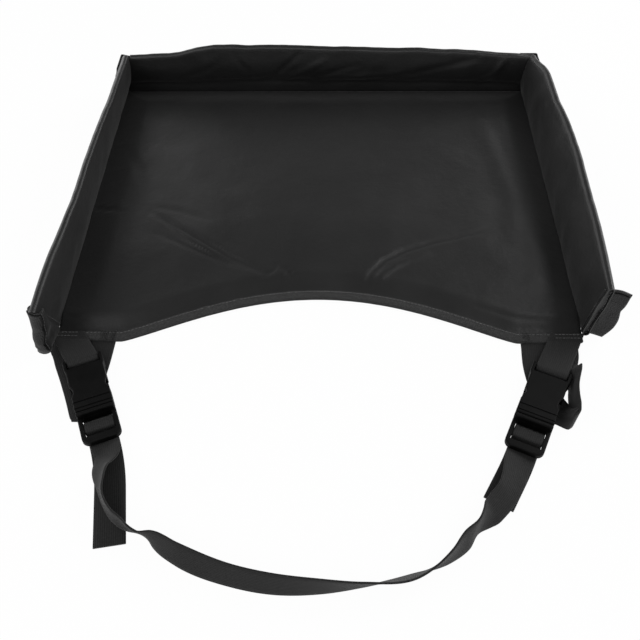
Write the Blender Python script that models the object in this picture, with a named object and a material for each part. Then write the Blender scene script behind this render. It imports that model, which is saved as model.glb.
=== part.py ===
"""Car seat tray table, lying flat with its walls up and its belt laid out in front.

Metres, +Z up. +X is the right-hand side, -Y is the side of the child's belly.
The origin is in the middle of the tray's underside.
"""
import math

import bmesh
import bpy
from mathutils import Matrix, Vector

MM = 0.001
UP = Vector((0, 0, 1))

# Tray base
TRAY_WIDTH = 405 * MM  # between the hinge lines of the side walls
TRAY_DEPTH = 320 * MM  # front edge to the hinge line of the rear wall
BELLY_SHOULDER = 52.5 * MM  # straight front edge at each side of the belly curve
BELLY_WIDTH = TRAY_WIDTH - 2 * BELLY_SHOULDER
BELLY_DEPTH = 43 * MM
BELLY_POWER = 1.25  # how full the belly curve is
FRONT_CORNER = 4 * MM
REAR_CORNER = 6 * MM
COVER_THICK = 0.6 * MM
BOARD_THICK = 2.5 * MM
FOAM_THICK = 2.5 * MM
PLY_GAP = 0.3 * MM
EDGE_ROUND = 1.5 * MM
SEAM_GAP = 0.5 * MM
LIP_ROOM = 0.8 * MM  # the base is thin along its front edge: the covers are this far apart
LIP_RISE = 11.5 * MM

# Tape folded round the front edge
TAPE_THICK = 0.6 * MM
TAPE_DEPTH = 7.5 * MM
TAPE_MARGIN = 1.2 * MM

# Walls: sewn sleeves with a foam board inside
WALL_THICK = 5 * MM
WALL_HEIGHT = 55 * MM
WALL_END_ROUND = 1.5 * MM
SLEEVE_THICK = 0.7 * MM
INSERT_CLEARANCE = 0.35 * MM
INSERT_SET_BACK = 8 * MM
CORNER_GAP = 0.5 * MM
WALL_STRAIGHT = 6 * MM  # the wall stands straight for this far over its hinge line, and leans above it
LEFT_LEAN = math.radians(-14)  # inwards
LEFT_STATION_SHARES = (0.0, 0.26, 0.4, 0.52, 0.72, 0.82, 0.88, 1.0)
LEFT_LEAN_SHARES = (1.0, 1.0, 0.87, 0.75, 0.7, 0.45, 0.25, 0.2)
LEFT_HEIGHT_SHARES = (0.83, 0.95, 0.98, 0.98, 0.96, 0.94, 0.93, 0.9)
RIGHT_LEAN = math.radians(12)
RIGHT_STATION_SHARES = (0.0, 0.02, 0.12, 0.3, 0.4, 0.5, 0.63, 0.73, 0.87, 1.0)
RIGHT_LEAN_SHARES = (0.0, 0.0, 0.5, 0.6, 0.9, 1.0, 0.9, 0.85, 0.7, 0.45)
RIGHT_HEIGHT_SHARES = (0.8, 0.84, 0.97, 1.0, 1.0, 1.0, 1.0, 1.0, 1.0, 0.98)
SLANT_START_SHARE = 0.8
WALL_STEPS = 24
WALL_ROWS = 6
LEFT_FOOT_BACK = 12 * MM  # the foot of the wall ends this far behind the front edge
LEFT_SLANT = 30 * MM  # and its top reaches this much further
RIGHT_FOOT_BACK = 8 * MM
RIGHT_SLANT = 3 * MM
REAR_SLANT = -20 * MM  # its left end is cut back towards the top, where the left wall leans in
REAR_STATION_SHARES = (0.0, 0.06, 0.11, 0.22, 0.5, 0.68, 0.73, 0.79, 0.85, 0.93, 1.0)
REAR_LEAN_SHARES = (0.0,) * len(REAR_STATION_SHARES)
REAR_HEIGHT_SHARES = (0.78, 0.8, 0.85, 0.9, 0.95, 0.98, 1.0, 0.94, 0.84, 0.8, 0.78)

# Flaps that close the front mouths of the side sleeves
FLAP_THICK = 1.2 * MM
LEFT_FLAP_FOOT = 13 * MM  # from the hinge line of the wall up to the flap
RIGHT_FLAP_FOOT = 6 * MM
FLAP_HEAD = 4 * MM  # from the flap up to the height of the wall
FLAP_LENGTH = 15 * MM
FLAP_HINGE_GAP = 1.2 * MM
FLAP_ROOT = 0.8 * MM  # how far the flap reaches behind its hinge line
FLAP_OPEN = math.radians(60)  # the right flap stands open by this much
FLAP_CURL = math.radians(55)  # the left flap is rolled up by this much
FLAP_STEPS = 12
HOOK_TRIM = 2  # steps that the hook tape is shorter at each end
HOOK_THICK = 1.0 * MM
HOOK_MARGIN = 2.5 * MM

# Hook tabs and loop patches at the rear corners
CORNER_TAB_THICK = 1.1 * MM
CORNER_TAB_WIDTH = 22 * MM
CORNER_TAB_HEAD = 9 * MM  # from the tab up to the height of the wall
CORNER_TAB_FOOT = WALL_HEIGHT - CORNER_TAB_HEAD - CORNER_TAB_WIDTH
CORNER_TAB_BACK = 14 * MM
CORNER_TAB_REACH = 24 * MM
PATCH_THICK = 0.9 * MM
PATCH_LENGTH = 30 * MM
PATCH_MARGIN = 2 * MM

# Webbing
WEB_THICK = 1.3 * MM
BELT_WIDTH = 20 * MM
TAB_WIDTH = 23 * MM
HANG_WIDTH = 20 * MM
TAB_OVERLAP = 6.5 * MM
TAB_PLY_END = 4 * MM

# Side-release buckle, measured along its axis from the middle of the bar
BUCKLE_WIDTH = 27 * MM
BUCKLE_THICK = 9.5 * MM
BUCKLE_BEVEL = 1.0 * MM
BAR_SIZE = 3 * MM
BAR_SHOULDER = 2.3 * MM  # plastic on each side of the webbing slot
SLOT_LENGTH = 5.5 * MM
SLOT_PLAY = 1.2 * MM  # how much wider a slot is than its webbing
SOCKET_LENGTH = 45.5 * MM
SHELL_WALL = 1.9 * MM
SIDE_WALL = 3.7 * MM
CAVITY_HALF = BUCKLE_WIDTH / 2 - SIDE_WALL
CAVITY_DEPTH = 30 * MM
WINDOW_LENGTH = 10 * MM
WINDOW_FROM_MOUTH = 13 * MM
WINDOW_BITE = 1.8 * MM
RIDGE_LENGTH = 4 * MM
RIDGE_FROM_MOUTH = 3 * MM
GROOVE_DEPTH = 0.5 * MM
GROOVE_LENGTH = 1.2 * MM
RELEASE_GAP = 0.4 * MM
COLLAR_LENGTH = 3.5 * MM
FRAME_THICK = 5 * MM
FRAME_CORNER = 5 * MM
RUNG_LENGTH = 5.4 * MM
RUNG_THICK = 3 * MM
LADDER_SLOT = 5.2 * MM
TONGUE_HALF = 2 * MM
TONGUE_CLEARANCE = 1.25 * MM
TONGUE_THICK = BUCKLE_THICK - 2 * SHELL_WALL - 2 * TONGUE_CLEARANCE
TONGUE_LENGTH = 20 * MM
BRIDGE_LENGTH = 3 * MM
ARM_CLEARANCE = 0.65 * MM
ARM_THICK = BUCKLE_THICK - 2 * SHELL_WALL - 2 * ARM_CLEARANCE
ARM_HALF = 1.1 * MM
ARM_FROM_SIDE = 2.4 * MM  # from the side of the cavity to the middle of an arm
ARM_ROOT = CAVITY_HALF - ARM_FROM_SIDE
ARM_SPREAD = 0.6 * MM
ARM_TIP_IN = 0.4 * MM
ARM_TIP = ARM_ROOT - ARM_TIP_IN
CUT = 2 * MM  # how far every cutter runs past what it cuts

# Where each buckle's bar lies from the side of the tray, and how far the buckle turns in
LEFT_BAR_INSET = 30.5 * MM
LEFT_BAR_AHEAD = 25 * MM
LEFT_TURN = math.radians(22.5)
LEFT_TAB_INSET = 15.5 * MM  # middle of the tab where it leaves the tray
RIGHT_BAR_INSET = 34 * MM
RIGHT_BAR_AHEAD = 32.5 * MM
RIGHT_TURN = math.radians(25.2)
RIGHT_TAB_INSET = 18.5 * MM

# Belt: shares of the way between the ladder locks and of the sag, tilt in degrees, plies it rests on
BELT_SAG = 89 * MM  # how far it lies ahead of the line between the ladder locks
BELT_LEAD = 4 * MM
BELT_ROUTE_SHARES = (
    (-0.006, 0.14, 30, 1),
    (-0.003, 0.265, 62, 1),
    (0.011, 0.4, 80, 1),
    (0.049, 0.533, 84, 1),
    (0.111, 0.652, 76, 0.5),
    (0.206, 0.781, 68, 0),
    (0.33, 0.913, 70, 0),
    (0.426, 0.963, 74, 0),
    (0.528, 0.972, 86, 0),
    (0.622, 0.949, 104, 0),
    (0.732, 0.88, 118, 0),
    (0.821, 0.717, 112, 0),
    (0.889, 0.471, 86, 1),
    (0.942, 0.26, 34, 1),
)
BELT_STEPS = 4
LEFT_TAIL = 75 * MM
LEFT_TAIL_TURN = math.radians(10)
RIGHT_TAIL = 38 * MM
RIGHT_TAIL_TURN = math.radians(20)

# Hanging loops: shares of their spread and reach, tilt in degrees, and the plies they rest on
HANG_SPREAD = 42 * MM
HANG_REACH = 80 * MM
HANG_STEPS = 4
HANG_ROOT_GAP = 1.4 * MM
LEFT_HANG_GAP = 4 * MM  # between the tab and the root of the loop beside it
RIGHT_HANG_GAP = 4.5 * MM
LEFT_HANG_LOWER_SHARES = (
    (0.0, 0.0, 0, 0),
    (0.06, 0.2, 0, 0),
    (0.09, 0.4, 0, 0),
    (0.08, 0.6, 0, 0),
    (0.06, 0.79, 0, 0),
)
LEFT_HANG_UPPER_SHARES = (
    (0.06, 0.79, 0, 1),
    (0.24, 0.59, 0, 1),
    (0.4, 0.41, 0, 1),
    (0.55, 0.25, 0, 1),
    (0.62, 0.17, 0, 0.95),
    (0.7, 0.09, 0, 0.3),
    (0.77, 0.0, 0, 0),
)
RIGHT_HANG_SHARES = (
    (0.05, 0.0, 0, 0),
    (0.07, 0.28, 0, 0),
    (0.11, 0.48, 0, 0),
    (0.2, 0.64, 0, 0),
    (0.3, 0.75, 6, 0),
    (0.36, 0.83, 45, 0),
    (0.43, 0.91, 90, 0),
    (0.525, 0.89, 92, 0),
    (0.6, 0.81, 96, 0),
    (0.65, 0.7, 98, 0),
    (0.675, 0.585, 98, 0),
    (0.75, 0.47, 112, 0),
    (0.75, 0.36, 150, 0),
    (0.74, 0.26, 174, 0),
    (0.72, 0.12, 180, 0),
    (0.7, 0.0, 180, 0),
)

BALL_SIDES = 12
ARC_STEPS = 5
RING_STEP = 1 * MM
BELLY_STEPS = 32

# Heights that follow from the plies
UNDER_PLY = max(COVER_THICK, TAPE_THICK)
BOARD_BOTTOM = UNDER_PLY + PLY_GAP
BOARD_TOP = BOARD_BOTTOM + BOARD_THICK
FOAM_BOTTOM = BOARD_TOP + PLY_GAP
FOAM_TOP = FOAM_BOTTOM + FOAM_THICK
BASE_TOP = FOAM_TOP + PLY_GAP + COVER_THICK
LIP_FLAT = TAPE_DEPTH + TAPE_MARGIN
LIP_HEIGHT = BOARD_BOTTOM + LIP_ROOM + COVER_THICK
FRONT_Y = -TRAY_DEPTH / 2
REAR_Y = TRAY_DEPTH / 2
WALL_HALF = WALL_THICK / 2
EDGE_INSET = WALL_HALF + SEAM_GAP
HINGE_Z = WALL_HALF
TAPE_TOP = LIP_HEIGHT + PLY_GAP + TAPE_THICK
TAB_Z = TAPE_TOP + PLY_GAP + WEB_THICK / 2
BUCKLE_LIFT = 2 * WEB_THICK + 3 * PLY_GAP
BAR_Z = BUCKLE_LIFT + BUCKLE_THICK / 2
SOCKET_END = SOCKET_LENGTH
WINDOW_FRONT = SOCKET_END - WINDOW_FROM_MOUTH
WINDOW_BACK = WINDOW_FRONT - WINDOW_LENGTH
COLLAR_START = SOCKET_END + RELEASE_GAP
LADDER_START = COLLAR_START + COLLAR_LENGTH
RUNG_START = LADDER_START + LADDER_SLOT
RUNG_END = RUNG_START + RUNG_LENGTH
END_BAR_START = RUNG_END + LADDER_SLOT
PLUG_END = END_BAR_START + RUNG_LENGTH


def clear_scene():
    for thing in list(bpy.data.objects):
        bpy.data.objects.remove(thing, do_unlink=True)


def finish(name, grey, roughness):
    """A plain material of one grey."""
    made = bpy.data.materials.new(name)
    made.use_nodes = True
    shader = made.node_tree.nodes["Principled BSDF"]
    shader.inputs["Base Color"].default_value = (grey, grey, grey, 1)
    shader.inputs["Roughness"].default_value = roughness
    shader.inputs["Metallic"].default_value = 0
    return made


def place_mesh(name, shape, look, smooth_angle=math.radians(35)):
    """Turn a bmesh into a named object with its faces pointing out."""
    bmesh.ops.recalc_face_normals(shape, faces=shape.faces)
    mesh = bpy.data.meshes.new(name)
    shape.to_mesh(mesh)
    shape.free()
    mesh.shade_smooth()
    mesh.set_sharp_from_angle(angle=smooth_angle)
    mesh.materials.append(look)
    thing = bpy.data.objects.new(name, mesh)
    bpy.context.scene.collection.objects.link(thing)
    return thing


def loft(name, rings, look, split=False):
    """Skin a row of closed rings of equal length, and cap both ends."""
    shape = bmesh.new()
    loops = [[shape.verts.new(point) for point in ring] for ring in rings]
    for near, far in zip(loops, loops[1:]):
        count = len(near)
        for i in range(count):
            j = (i + 1) % count
            if split and i % 2 == 0:
                # both broad faces of a twisted band are split the same way, so that they never meet
                a, b, c, d = (near[i], near[j], far[j], far[i]) if i == 0 else (near[j], far[j], far[i], near[i])
                shape.faces.new((a, b, c))
                shape.faces.new((a, c, d))
            else:
                shape.faces.new((near[i], near[j], far[j], far[i]))
    shape.faces.new(reversed(loops[0]))
    shape.faces.new(loops[-1])
    return place_mesh(name, shape, look)


def pivot(name, place, matrix=None):
    """An empty on a joint's axis, which carries the pieces that move with it."""
    made = bpy.data.objects.new(name, None)
    bpy.context.scene.collection.objects.link(made)
    made.matrix_world = matrix or Matrix.Translation(place)
    return made


def carry(parent, *pieces):
    """Parent pieces to a pivot and leave them where they are."""
    for piece in pieces:
        piece.parent = parent
        piece.matrix_parent_inverse = parent.matrix_world.inverted()


def at_height(point, height):
    return Vector((point.x, point.y, height))


def along(shares, values, share):
    """Read a table of values between its stations."""
    for i in range(len(shares) - 1):
        if share <= shares[i + 1]:
            step = (share - shares[i]) / (shares[i + 1] - shares[i])
            return values[i] + (values[i + 1] - values[i]) * step
    return values[-1]


def smooth_route(points, steps):
    """A smooth curve through points whose first two numbers are their place on the floor."""
    knots = [Vector(point) for point in points]
    lengths = [(b.xy - a.xy).length for a, b in zip(knots, knots[1:])]
    rates = [(b - a) / length for a, b, length in zip(knots, knots[1:], lengths)]
    slopes = rates[:1]
    for i in range(1, len(lengths)):
        before, after = lengths[i - 1], lengths[i]
        slopes.append((rates[i - 1] * after + rates[i] * before) / (before + after))
    slopes.append(rates[-1])
    route = []
    for i, length in enumerate(lengths):
        for step in range(steps):
            t = step / steps
            pull = slopes[i] * (t - 2 * t**2 + t**3) + slopes[i + 1] * (t**3 - t**2)
            route.append(knots[i] + (knots[i + 1] - knots[i]) * (3 * t**2 - 2 * t**3) + pull * length)
    return route + knots[-1:]


def ribbon_rings(stations, width, thick):
    """Rectangular sections along stations of (middle, direction of the width).

    Where the width runs askew the section is drawn out, so that the band keeps its true width.
    """
    rings = []
    for i, (middle, across) in enumerate(stations):
        ahead = stations[min(i + 1, len(stations) - 1)][0]
        behind = stations[max(i - 1, 0)][0]
        run = (ahead - behind).normalized()
        square = (across - run * across.dot(run)).length
        side = across * width / 2 / square
        face = run.cross(side).normalized() * thick / 2
        rings.append([middle + a * side + b * face for a, b in ((1, 1), (-1, 1), (-1, -1), (1, -1))])
    return rings


def ribbon(name, stations, width, thick, look):
    """A band through stations, pressed flat where it would sink into the floor."""
    rings = [[at_height(p, max(p.z, 0)) for p in ring] for ring in ribbon_rings(stations, width, thick)]
    return loft(name, rings, look, split=True)


def belly_rise(x):
    """How far the front edge is cut back at x."""
    share = abs(x) / (BELLY_WIDTH / 2)
    return BELLY_DEPTH * max(1 - share**2, 0) ** BELLY_POWER


def belly_points(inset):
    """Points along the belly curve, moved into the tray by inset."""
    half = BELLY_WIDTH / 2
    points = []
    for i in range(BELLY_STEPS + 1):
        share = 2 * i / BELLY_STEPS - 1
        fall = -2 * BELLY_POWER * share * max(1 - share**2, 0) ** (BELLY_POWER - 1)
        inward = Vector((-fall * BELLY_DEPTH / half, 1, 0)).normalized()
        edge = Vector((share * half, FRONT_Y + belly_rise(share * half), 0))
        points.append((edge, inward))
    return [edge + inward * inset for edge, inward in points]


def arc(middle_x, middle_y, radius, start, end, steps=ARC_STEPS):
    """Points on an arc, its angles in degrees."""
    points = []
    for i in range(steps + 1):
        angle = math.radians(start + (end - start) * i / steps)
        points.append(Vector((middle_x + radius * math.cos(angle), middle_y + radius * math.sin(angle), 0)))
    return points


def with_depth(points):
    """Write each point's distance behind the front line into its third number."""
    return [Vector((point.x, point.y, point.y - FRONT_Y)) for point in points]


def base_outline(side_inset, front_inset):
    """The tray's outline, drawn in from its sides and rear, and from its front.

    Each point's third number is how far it lies behind the front edge.
    """
    half = TRAY_WIDTH / 2 - EDGE_INSET - side_inset
    front = FRONT_Y + front_inset
    rear = REAR_Y - EDGE_INSET - side_inset
    near = FRONT_CORNER
    far = REAR_CORNER
    knee = max(front + near + RING_STEP, FRONT_Y + LIP_FLAT)
    full = max(knee + RING_STEP, FRONT_Y + LIP_FLAT + LIP_RISE)
    points = arc(half - near, front + near, near, 270, 360)
    points += [Vector((half, knee, 0)), Vector((half, full, 0))]
    points += arc(half - far, rear - far, far, 0, 90)
    points += arc(-half + far, rear - far, far, 90, 180)
    points += [Vector((-half, full, 0)), Vector((-half, knee, 0))]
    points += arc(-half + near, front + near, near, 180, 270)
    return with_depth(points) + [point + UP * front_inset for point in belly_points(front_inset)]


def cover_top(depth):
    """Height of the top cover: thin along the front edge, then full."""
    share = min(max((depth - LIP_FLAT) / LIP_RISE, 0), 1)
    return LIP_HEIGHT + (BASE_TOP - LIP_HEIGHT) * share


def edge_drop(depth):
    """How far the rounded edge of the cover falls, no more than the room inside allows."""
    room_share = 0.875
    return min(EDGE_ROUND, (cover_top(depth) - COVER_THICK - BOARD_BOTTOM) * room_share)


def cover_rings(ply):
    """Rings of the cover's outer face, or of its inner face when ply is its thickness."""
    bend_share = 0.3
    rows = ((0, 1), (EDGE_ROUND * bend_share, bend_share), (EDGE_ROUND, 0), (LIP_FLAT, 0), (LIP_FLAT + LIP_RISE, 0))
    rings = [[at_height(point, BOARD_BOTTOM) for point in base_outline(ply, ply)]]
    for inset, drop_share in rows:
        ring = []
        for point in base_outline(inset + ply, inset + ply):
            height = cover_top(point.z) - ply - edge_drop(point.z) * drop_share
            ring.append(at_height(point, height))
        rings.append(ring)
    return rings


def base_cover_top(look):
    inner = cover_rings(COVER_THICK)
    return loft("base_cover_top", inner[::-1] + cover_rings(0), look)


def slab(name, side_inset, front_inset, bottom, top, edge, look):
    """A flat sheet cut to the tray's outline, its upper edge rounded by edge."""
    bend_share = 0.3
    rows = [(0, bottom), (0, top - edge)]
    if edge:
        rows += [(edge * bend_share, top - edge * bend_share), (edge, top)]
    rings = []
    for inset, height in rows:
        outline = base_outline(side_inset + inset, front_inset + inset)
        rings.append([at_height(point, height) for point in outline])
    return loft(name, rings, look)


def base_plies(looks):
    """Bottom cover, board, foam and top cover, from the bottom up."""
    share = (BOARD_TOP + PLY_GAP + COVER_THICK - LIP_HEIGHT) / (BASE_TOP - LIP_HEIGHT)
    board_front = LIP_FLAT + LIP_RISE * share + PLY_GAP
    board_side = COVER_THICK + PLY_GAP + EDGE_ROUND
    foam_side = COVER_THICK + PLY_GAP
    foam_front = COVER_THICK + LIP_FLAT + LIP_RISE + FRONT_CORNER + 2 * RING_STEP
    return [
        slab("base_cover_bottom", 0, TAPE_DEPTH + PLY_GAP, 0, COVER_THICK, 0, looks["nylon"]),
        slab("base_board", board_side, board_front, BOARD_BOTTOM, BOARD_TOP, 0, looks["board"]),
        slab("base_foam", foam_side, foam_front, FOAM_BOTTOM, FOAM_TOP, EDGE_ROUND, looks["foam"]),
        base_cover_top(looks["nylon"]),
    ]


def front_binding(look):
    """Tape folded round the front edge: one C section along the belly curve."""
    end = TRAY_WIDTH / 2 - EDGE_INSET - FRONT_CORNER - LIP_FLAT
    outer = -PLY_GAP - TAPE_THICK
    section = (
        (outer, 0),
        (TAPE_DEPTH, 0),
        (TAPE_DEPTH, TAPE_THICK),
        (-PLY_GAP, TAPE_THICK),
        (-PLY_GAP, LIP_HEIGHT + PLY_GAP),
        (TAPE_DEPTH, LIP_HEIGHT + PLY_GAP),
        (TAPE_DEPTH, TAPE_TOP),
        (outer, TAPE_TOP),
    )
    rows = []
    for inset, height in section:
        row = [Vector((-end, FRONT_Y + inset, 0))] + belly_points(inset) + [Vector((end, FRONT_Y + inset, 0))]
        rows.append([point + UP * height for point in row])
    return loft("front_binding", list(zip(*rows)), look)


def stadium(thick, bottom, top):
    """A tall section with round ends, as (across, up)."""
    radius = thick / 2
    low = bottom + radius
    high = top - radius
    points = []
    for side, middle, start in ((1, low, math.pi), (-1, high, 0)):
        for i in range(BALL_SIDES // 2 + 1):
            angle = start + 2 * math.pi * i / BALL_SIDES
            points.append((radius * math.cos(angle), middle + radius * math.sin(angle)))
        for i in range(1, WALL_ROWS):
            share = i / WALL_ROWS if side > 0 else 1 - i / WALL_ROWS
            points.append((side * radius, low + (high - low) * share))
    return points


def wall_ring(wall, run, inset):
    """One section of a wall, run metres from its closed end, in world space."""
    share = run / wall["length"]
    height = WALL_HEIGHT * along(wall["stations"], wall["heights"], share)
    lean = wall["lean"] * along(wall["stations"], wall["leans"], share)
    slant = wall["slant"] * max(share - SLANT_START_SHARE, 0) / (1 - SLANT_START_SHARE)
    ring = []
    for across, up in stadium(WALL_THICK - 2 * inset, inset - WALL_HALF, height - inset):
        aside = max(up - WALL_STRAIGHT, 0) * math.tan(lean)
        ring.append(wall["place"] @ Vector((across + aside, run + slant * up / WALL_HEIGHT, up)))
    return ring


def wall_runs(wall, start, end):
    """Where the sections stand: both ends, and even steps between them."""
    middle = [wall["length"] * i / WALL_STEPS for i in range(WALL_STEPS + 1)]
    return [start] + [run for run in middle if start + SEAM_GAP < run < end - SEAM_GAP] + [end]


def wall_sleeve(name, wall, look):
    """A sleeve closed at its start and open at its end."""
    outer = [wall_ring(wall, run, 0) for run in wall_runs(wall, WALL_END_ROUND, wall["length"])]
    outer.insert(0, wall_ring(wall, 0, WALL_END_ROUND))
    inner_start = WALL_END_ROUND + SLEEVE_THICK
    inner = [wall_ring(wall, run, SLEEVE_THICK) for run in wall_runs(wall, inner_start, wall["length"])]
    inner.insert(0, wall_ring(wall, SLEEVE_THICK, WALL_END_ROUND + SLEEVE_THICK))
    return loft(name, outer + inner[::-1], look)


def wall_insert(name, wall, look):
    """The foam board inside a sleeve."""
    inset = SLEEVE_THICK + INSERT_CLEARANCE
    start = WALL_END_ROUND + inset
    end = wall["length"] - INSERT_SET_BACK
    return loft(name, [wall_ring(wall, run, inset) for run in wall_runs(wall, start, end)], look)


def side_wall(side):
    """Numbers of a side wall: side is -1 for the left one and 1 for the right one."""
    start = REAR_Y - WALL_HALF - CORNER_GAP
    end = FRONT_Y + (RIGHT_FOOT_BACK if side > 0 else LEFT_FOOT_BACK)
    place = Matrix.Translation((side * TRAY_WIDTH / 2, start, HINGE_Z))
    place = place @ Matrix(((side, 0, 0, 0), (0, -1, 0, 0), (0, 0, 1, 0), (0, 0, 0, 1)))
    return {
        "length": start - end,
        "slant": RIGHT_SLANT if side > 0 else LEFT_SLANT,
        "place": place,
        "lean": RIGHT_LEAN if side > 0 else LEFT_LEAN,
        "stations": RIGHT_STATION_SHARES if side > 0 else LEFT_STATION_SHARES,
        "leans": RIGHT_LEAN_SHARES if side > 0 else LEFT_LEAN_SHARES,
        "heights": RIGHT_HEIGHT_SHARES if side > 0 else LEFT_HEIGHT_SHARES,
        "flap_foot": RIGHT_FLAP_FOOT if side > 0 else LEFT_FLAP_FOOT,
    }


def rear_wall():
    """Numbers of the rear wall, which runs from the right corner to the left."""
    half = TRAY_WIDTH / 2 + WALL_HALF
    place = Matrix.Translation((half, REAR_Y, HINGE_Z)) @ Matrix.Rotation(math.pi / 2, 4, "Z")
    return {
        "length": 2 * half,
        "slant": REAR_SLANT,
        "place": place,
        "lean": 0,
        "stations": REAR_STATION_SHARES,
        "leans": REAR_LEAN_SHARES,
        "heights": REAR_HEIGHT_SHARES,
    }


def flap_frame(wall):
    """Hinge point, direction up, direction ahead and direction out at a sleeve's mouth."""
    lean = wall["lean"] * wall["leans"][-1]
    turn = Matrix.Rotation(lean, 3, "Y")
    out_x = turn @ Vector((1, 0, 0))
    up_x = turn @ Vector((0, 0, 1))
    edge = (up_x + Vector((0, wall["slant"] / WALL_HEIGHT, 0))).normalized()
    ahead = out_x.cross(edge) * -1
    frame = wall["place"].to_3x3()
    foot = wall["place"] @ (
        out_x * (WALL_HALF - FLAP_THICK / 2 - WALL_STRAIGHT * math.sin(lean))
        + edge * wall["flap_foot"]
        + Vector((0, wall["length"], 0))
        + ahead * FLAP_HINGE_GAP
    )
    return foot, frame @ edge, frame @ ahead, frame @ out_x


def flap_width(wall):
    return WALL_HEIGHT - wall["flap_foot"] - FLAP_HEAD


def flap_route(wall, trim, lift, turn_in, curl):
    """Middle line of a flap: it leaves the mouth turned out, and may roll up outwards."""
    foot, up, ahead, out = flap_frame(wall)
    spot = foot + up * flap_width(wall) / 2
    step = FLAP_LENGTH / FLAP_STEPS
    route = []
    for i in range(FLAP_STEPS + 1):
        angle = turn_in + curl * i / FLAP_STEPS
        way = ahead * math.cos(angle) + out * math.sin(angle)
        side = out * math.cos(angle) - ahead * math.sin(angle)
        spot = spot + way * (step if i else -FLAP_ROOT)
        if trim <= i <= FLAP_STEPS - trim:
            route.append((spot - side * lift, up))
    return route


def sleeve_flap(side_name, wall, looks):
    """A closing flap and the hook tape on its inner face."""
    turn_in = FLAP_OPEN if side_name == "right" else 0
    curl = 0 if side_name == "right" else FLAP_CURL
    route = flap_route(wall, 0, 0, turn_in, curl)
    flap = ribbon(f"sleeve_flap_{side_name}", route, flap_width(wall), FLAP_THICK, looks["nylon"])
    lift = FLAP_THICK / 2 + PLY_GAP + HOOK_THICK / 2
    route = flap_route(wall, HOOK_TRIM, lift, turn_in, curl)
    width = flap_width(wall) - 2 * HOOK_MARGIN
    tape = ribbon(f"hook_tape_{side_name}", route, width, HOOK_THICK, looks["hook"])
    return flap, tape


def face_station(wall, run, gap):
    """Middle and direction up of a corner piece, this far off the outer face of a side wall."""
    lean = wall["lean"] * along(wall["stations"], wall["leans"], run / wall["length"])
    up = CORNER_TAB_FOOT + CORNER_TAB_WIDTH / 2 - HINGE_Z
    aside = WALL_HALF + gap / math.cos(lean) + (up - WALL_STRAIGHT) * math.tan(lean)
    frame = wall["place"].to_3x3()
    return wall["place"] @ Vector((aside, run, up)), frame @ Vector((math.sin(lean), 0, math.cos(lean)))


def corner_patch(wall, side_name, look):
    """Loop patch on the outer face of a side wall, near the rear corner."""
    route = []
    for i in range(ARC_STEPS + 1):
        run = WALL_END_ROUND + PATCH_LENGTH * i / ARC_STEPS
        route.append(face_station(wall, run, 2 * PLY_GAP + PATCH_THICK / 2))
    return ribbon(f"loop_patch_{side_name}", route, CORNER_TAB_WIDTH, PATCH_THICK, look)


def corner_tab(wall, side_name, look):
    """Hook tab from the back of the rear wall, round the corner, onto the side wall's patch."""
    half = CORNER_TAB_THICK / 2
    gap = 3 * PLY_GAP + PATCH_THICK + half
    back_run = -CORNER_GAP - WALL_THICK - PLY_GAP - half
    bend = WALL_END_ROUND
    corner, up = face_station(wall, 0, gap)
    inward = wall["place"].to_3x3() @ Vector((-1, 0, 0))
    inward = (inward - up * inward.dot(up)).normalized()
    behind = Vector((0, -back_run, 0))
    route = [(corner + behind + inward * (CORNER_TAB_BACK + gap), up)]
    for point in arc(-bend, -bend, bend, 90, 0):
        route.append((corner + behind + inward * -point.x + Vector((0, point.y, 0)), up))
    for i in range(1, ARC_STEPS + 1):
        run = back_run + bend + (CORNER_TAB_REACH - bend) * i / ARC_STEPS
        if run > 0:
            route.append(face_station(wall, run, gap))
    width = CORNER_TAB_WIDTH - PATCH_MARGIN
    return ribbon(f"corner_hook_tab_{side_name}", route, width, CORNER_TAB_THICK, look)


def buckle_place(side):
    """Matrix of a buckle: its origin on the floor under the bar, +Y along its axis."""
    x = side * (TRAY_WIDTH / 2 - (RIGHT_BAR_INSET if side > 0 else LEFT_BAR_INSET))
    ahead = RIGHT_BAR_AHEAD if side > 0 else LEFT_BAR_AHEAD
    turn = RIGHT_TURN if side > 0 else LEFT_TURN
    return Matrix.Translation((x, FRONT_Y - ahead, 0)) @ Matrix.Rotation(math.pi - side * turn, 4, "Z")


def box(name, low, high, look):
    """A plain box between two corners."""
    x0, y0, z0 = low
    x1, y1, z1 = high
    plan = ((x0, y0), (x1, y0), (x1, y1), (x0, y1))
    return loft(name, [[Vector((x, y, z)) for x, y in plan] for z in (z0, z1)], look)


def prism(name, plan, bottom, top, look):
    """A plan outline drawn up from bottom to top."""
    return loft(name, [[Vector((p[0], p[1], z)) for p in plan] for z in (bottom, top)], look)


def bevel(thing, width):
    made = thing.modifiers.new("edge", "BEVEL")
    made.width = width
    made.segments = 2
    made.limit_method = "ANGLE"
    made.angle_limit = math.radians(40)


def combine(thing, other, operation):
    """Cut another shape out of a piece, or join it on, and keep the other as a guide."""
    other.hide_render = True
    other.display_type = "WIRE"
    made = thing.modifiers.new(other.name, "BOOLEAN")
    made.object = other
    made.operation = operation
    made.solver = "EXACT"


def socket_plan():
    """Half the socket's outline, from the bar end to the mouth, as (half width, along)."""
    wide = TAB_WIDTH / 2 + SLOT_PLAY / 2 + BAR_SHOULDER
    half = BUCKLE_WIDTH / 2
    start = -BAR_SIZE / 2
    shoulder = BAR_SIZE / 2 + SLOT_LENGTH
    plan = [(wide, start), (wide, shoulder), (half, shoulder + BAR_SIZE)]
    for i in range(ARC_STEPS + 1):
        share = i / ARC_STEPS
        bite = WINDOW_BITE * math.sin(math.pi * share)
        plan.append((half - bite, WINDOW_BACK + WINDOW_LENGTH * share))
    plan.append((half, SOCKET_END))
    return plan


def both_halves(plan):
    """Mirror half an outline to a whole one."""
    return plan + [(-x, y) for x, y in reversed(plan)]


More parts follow.
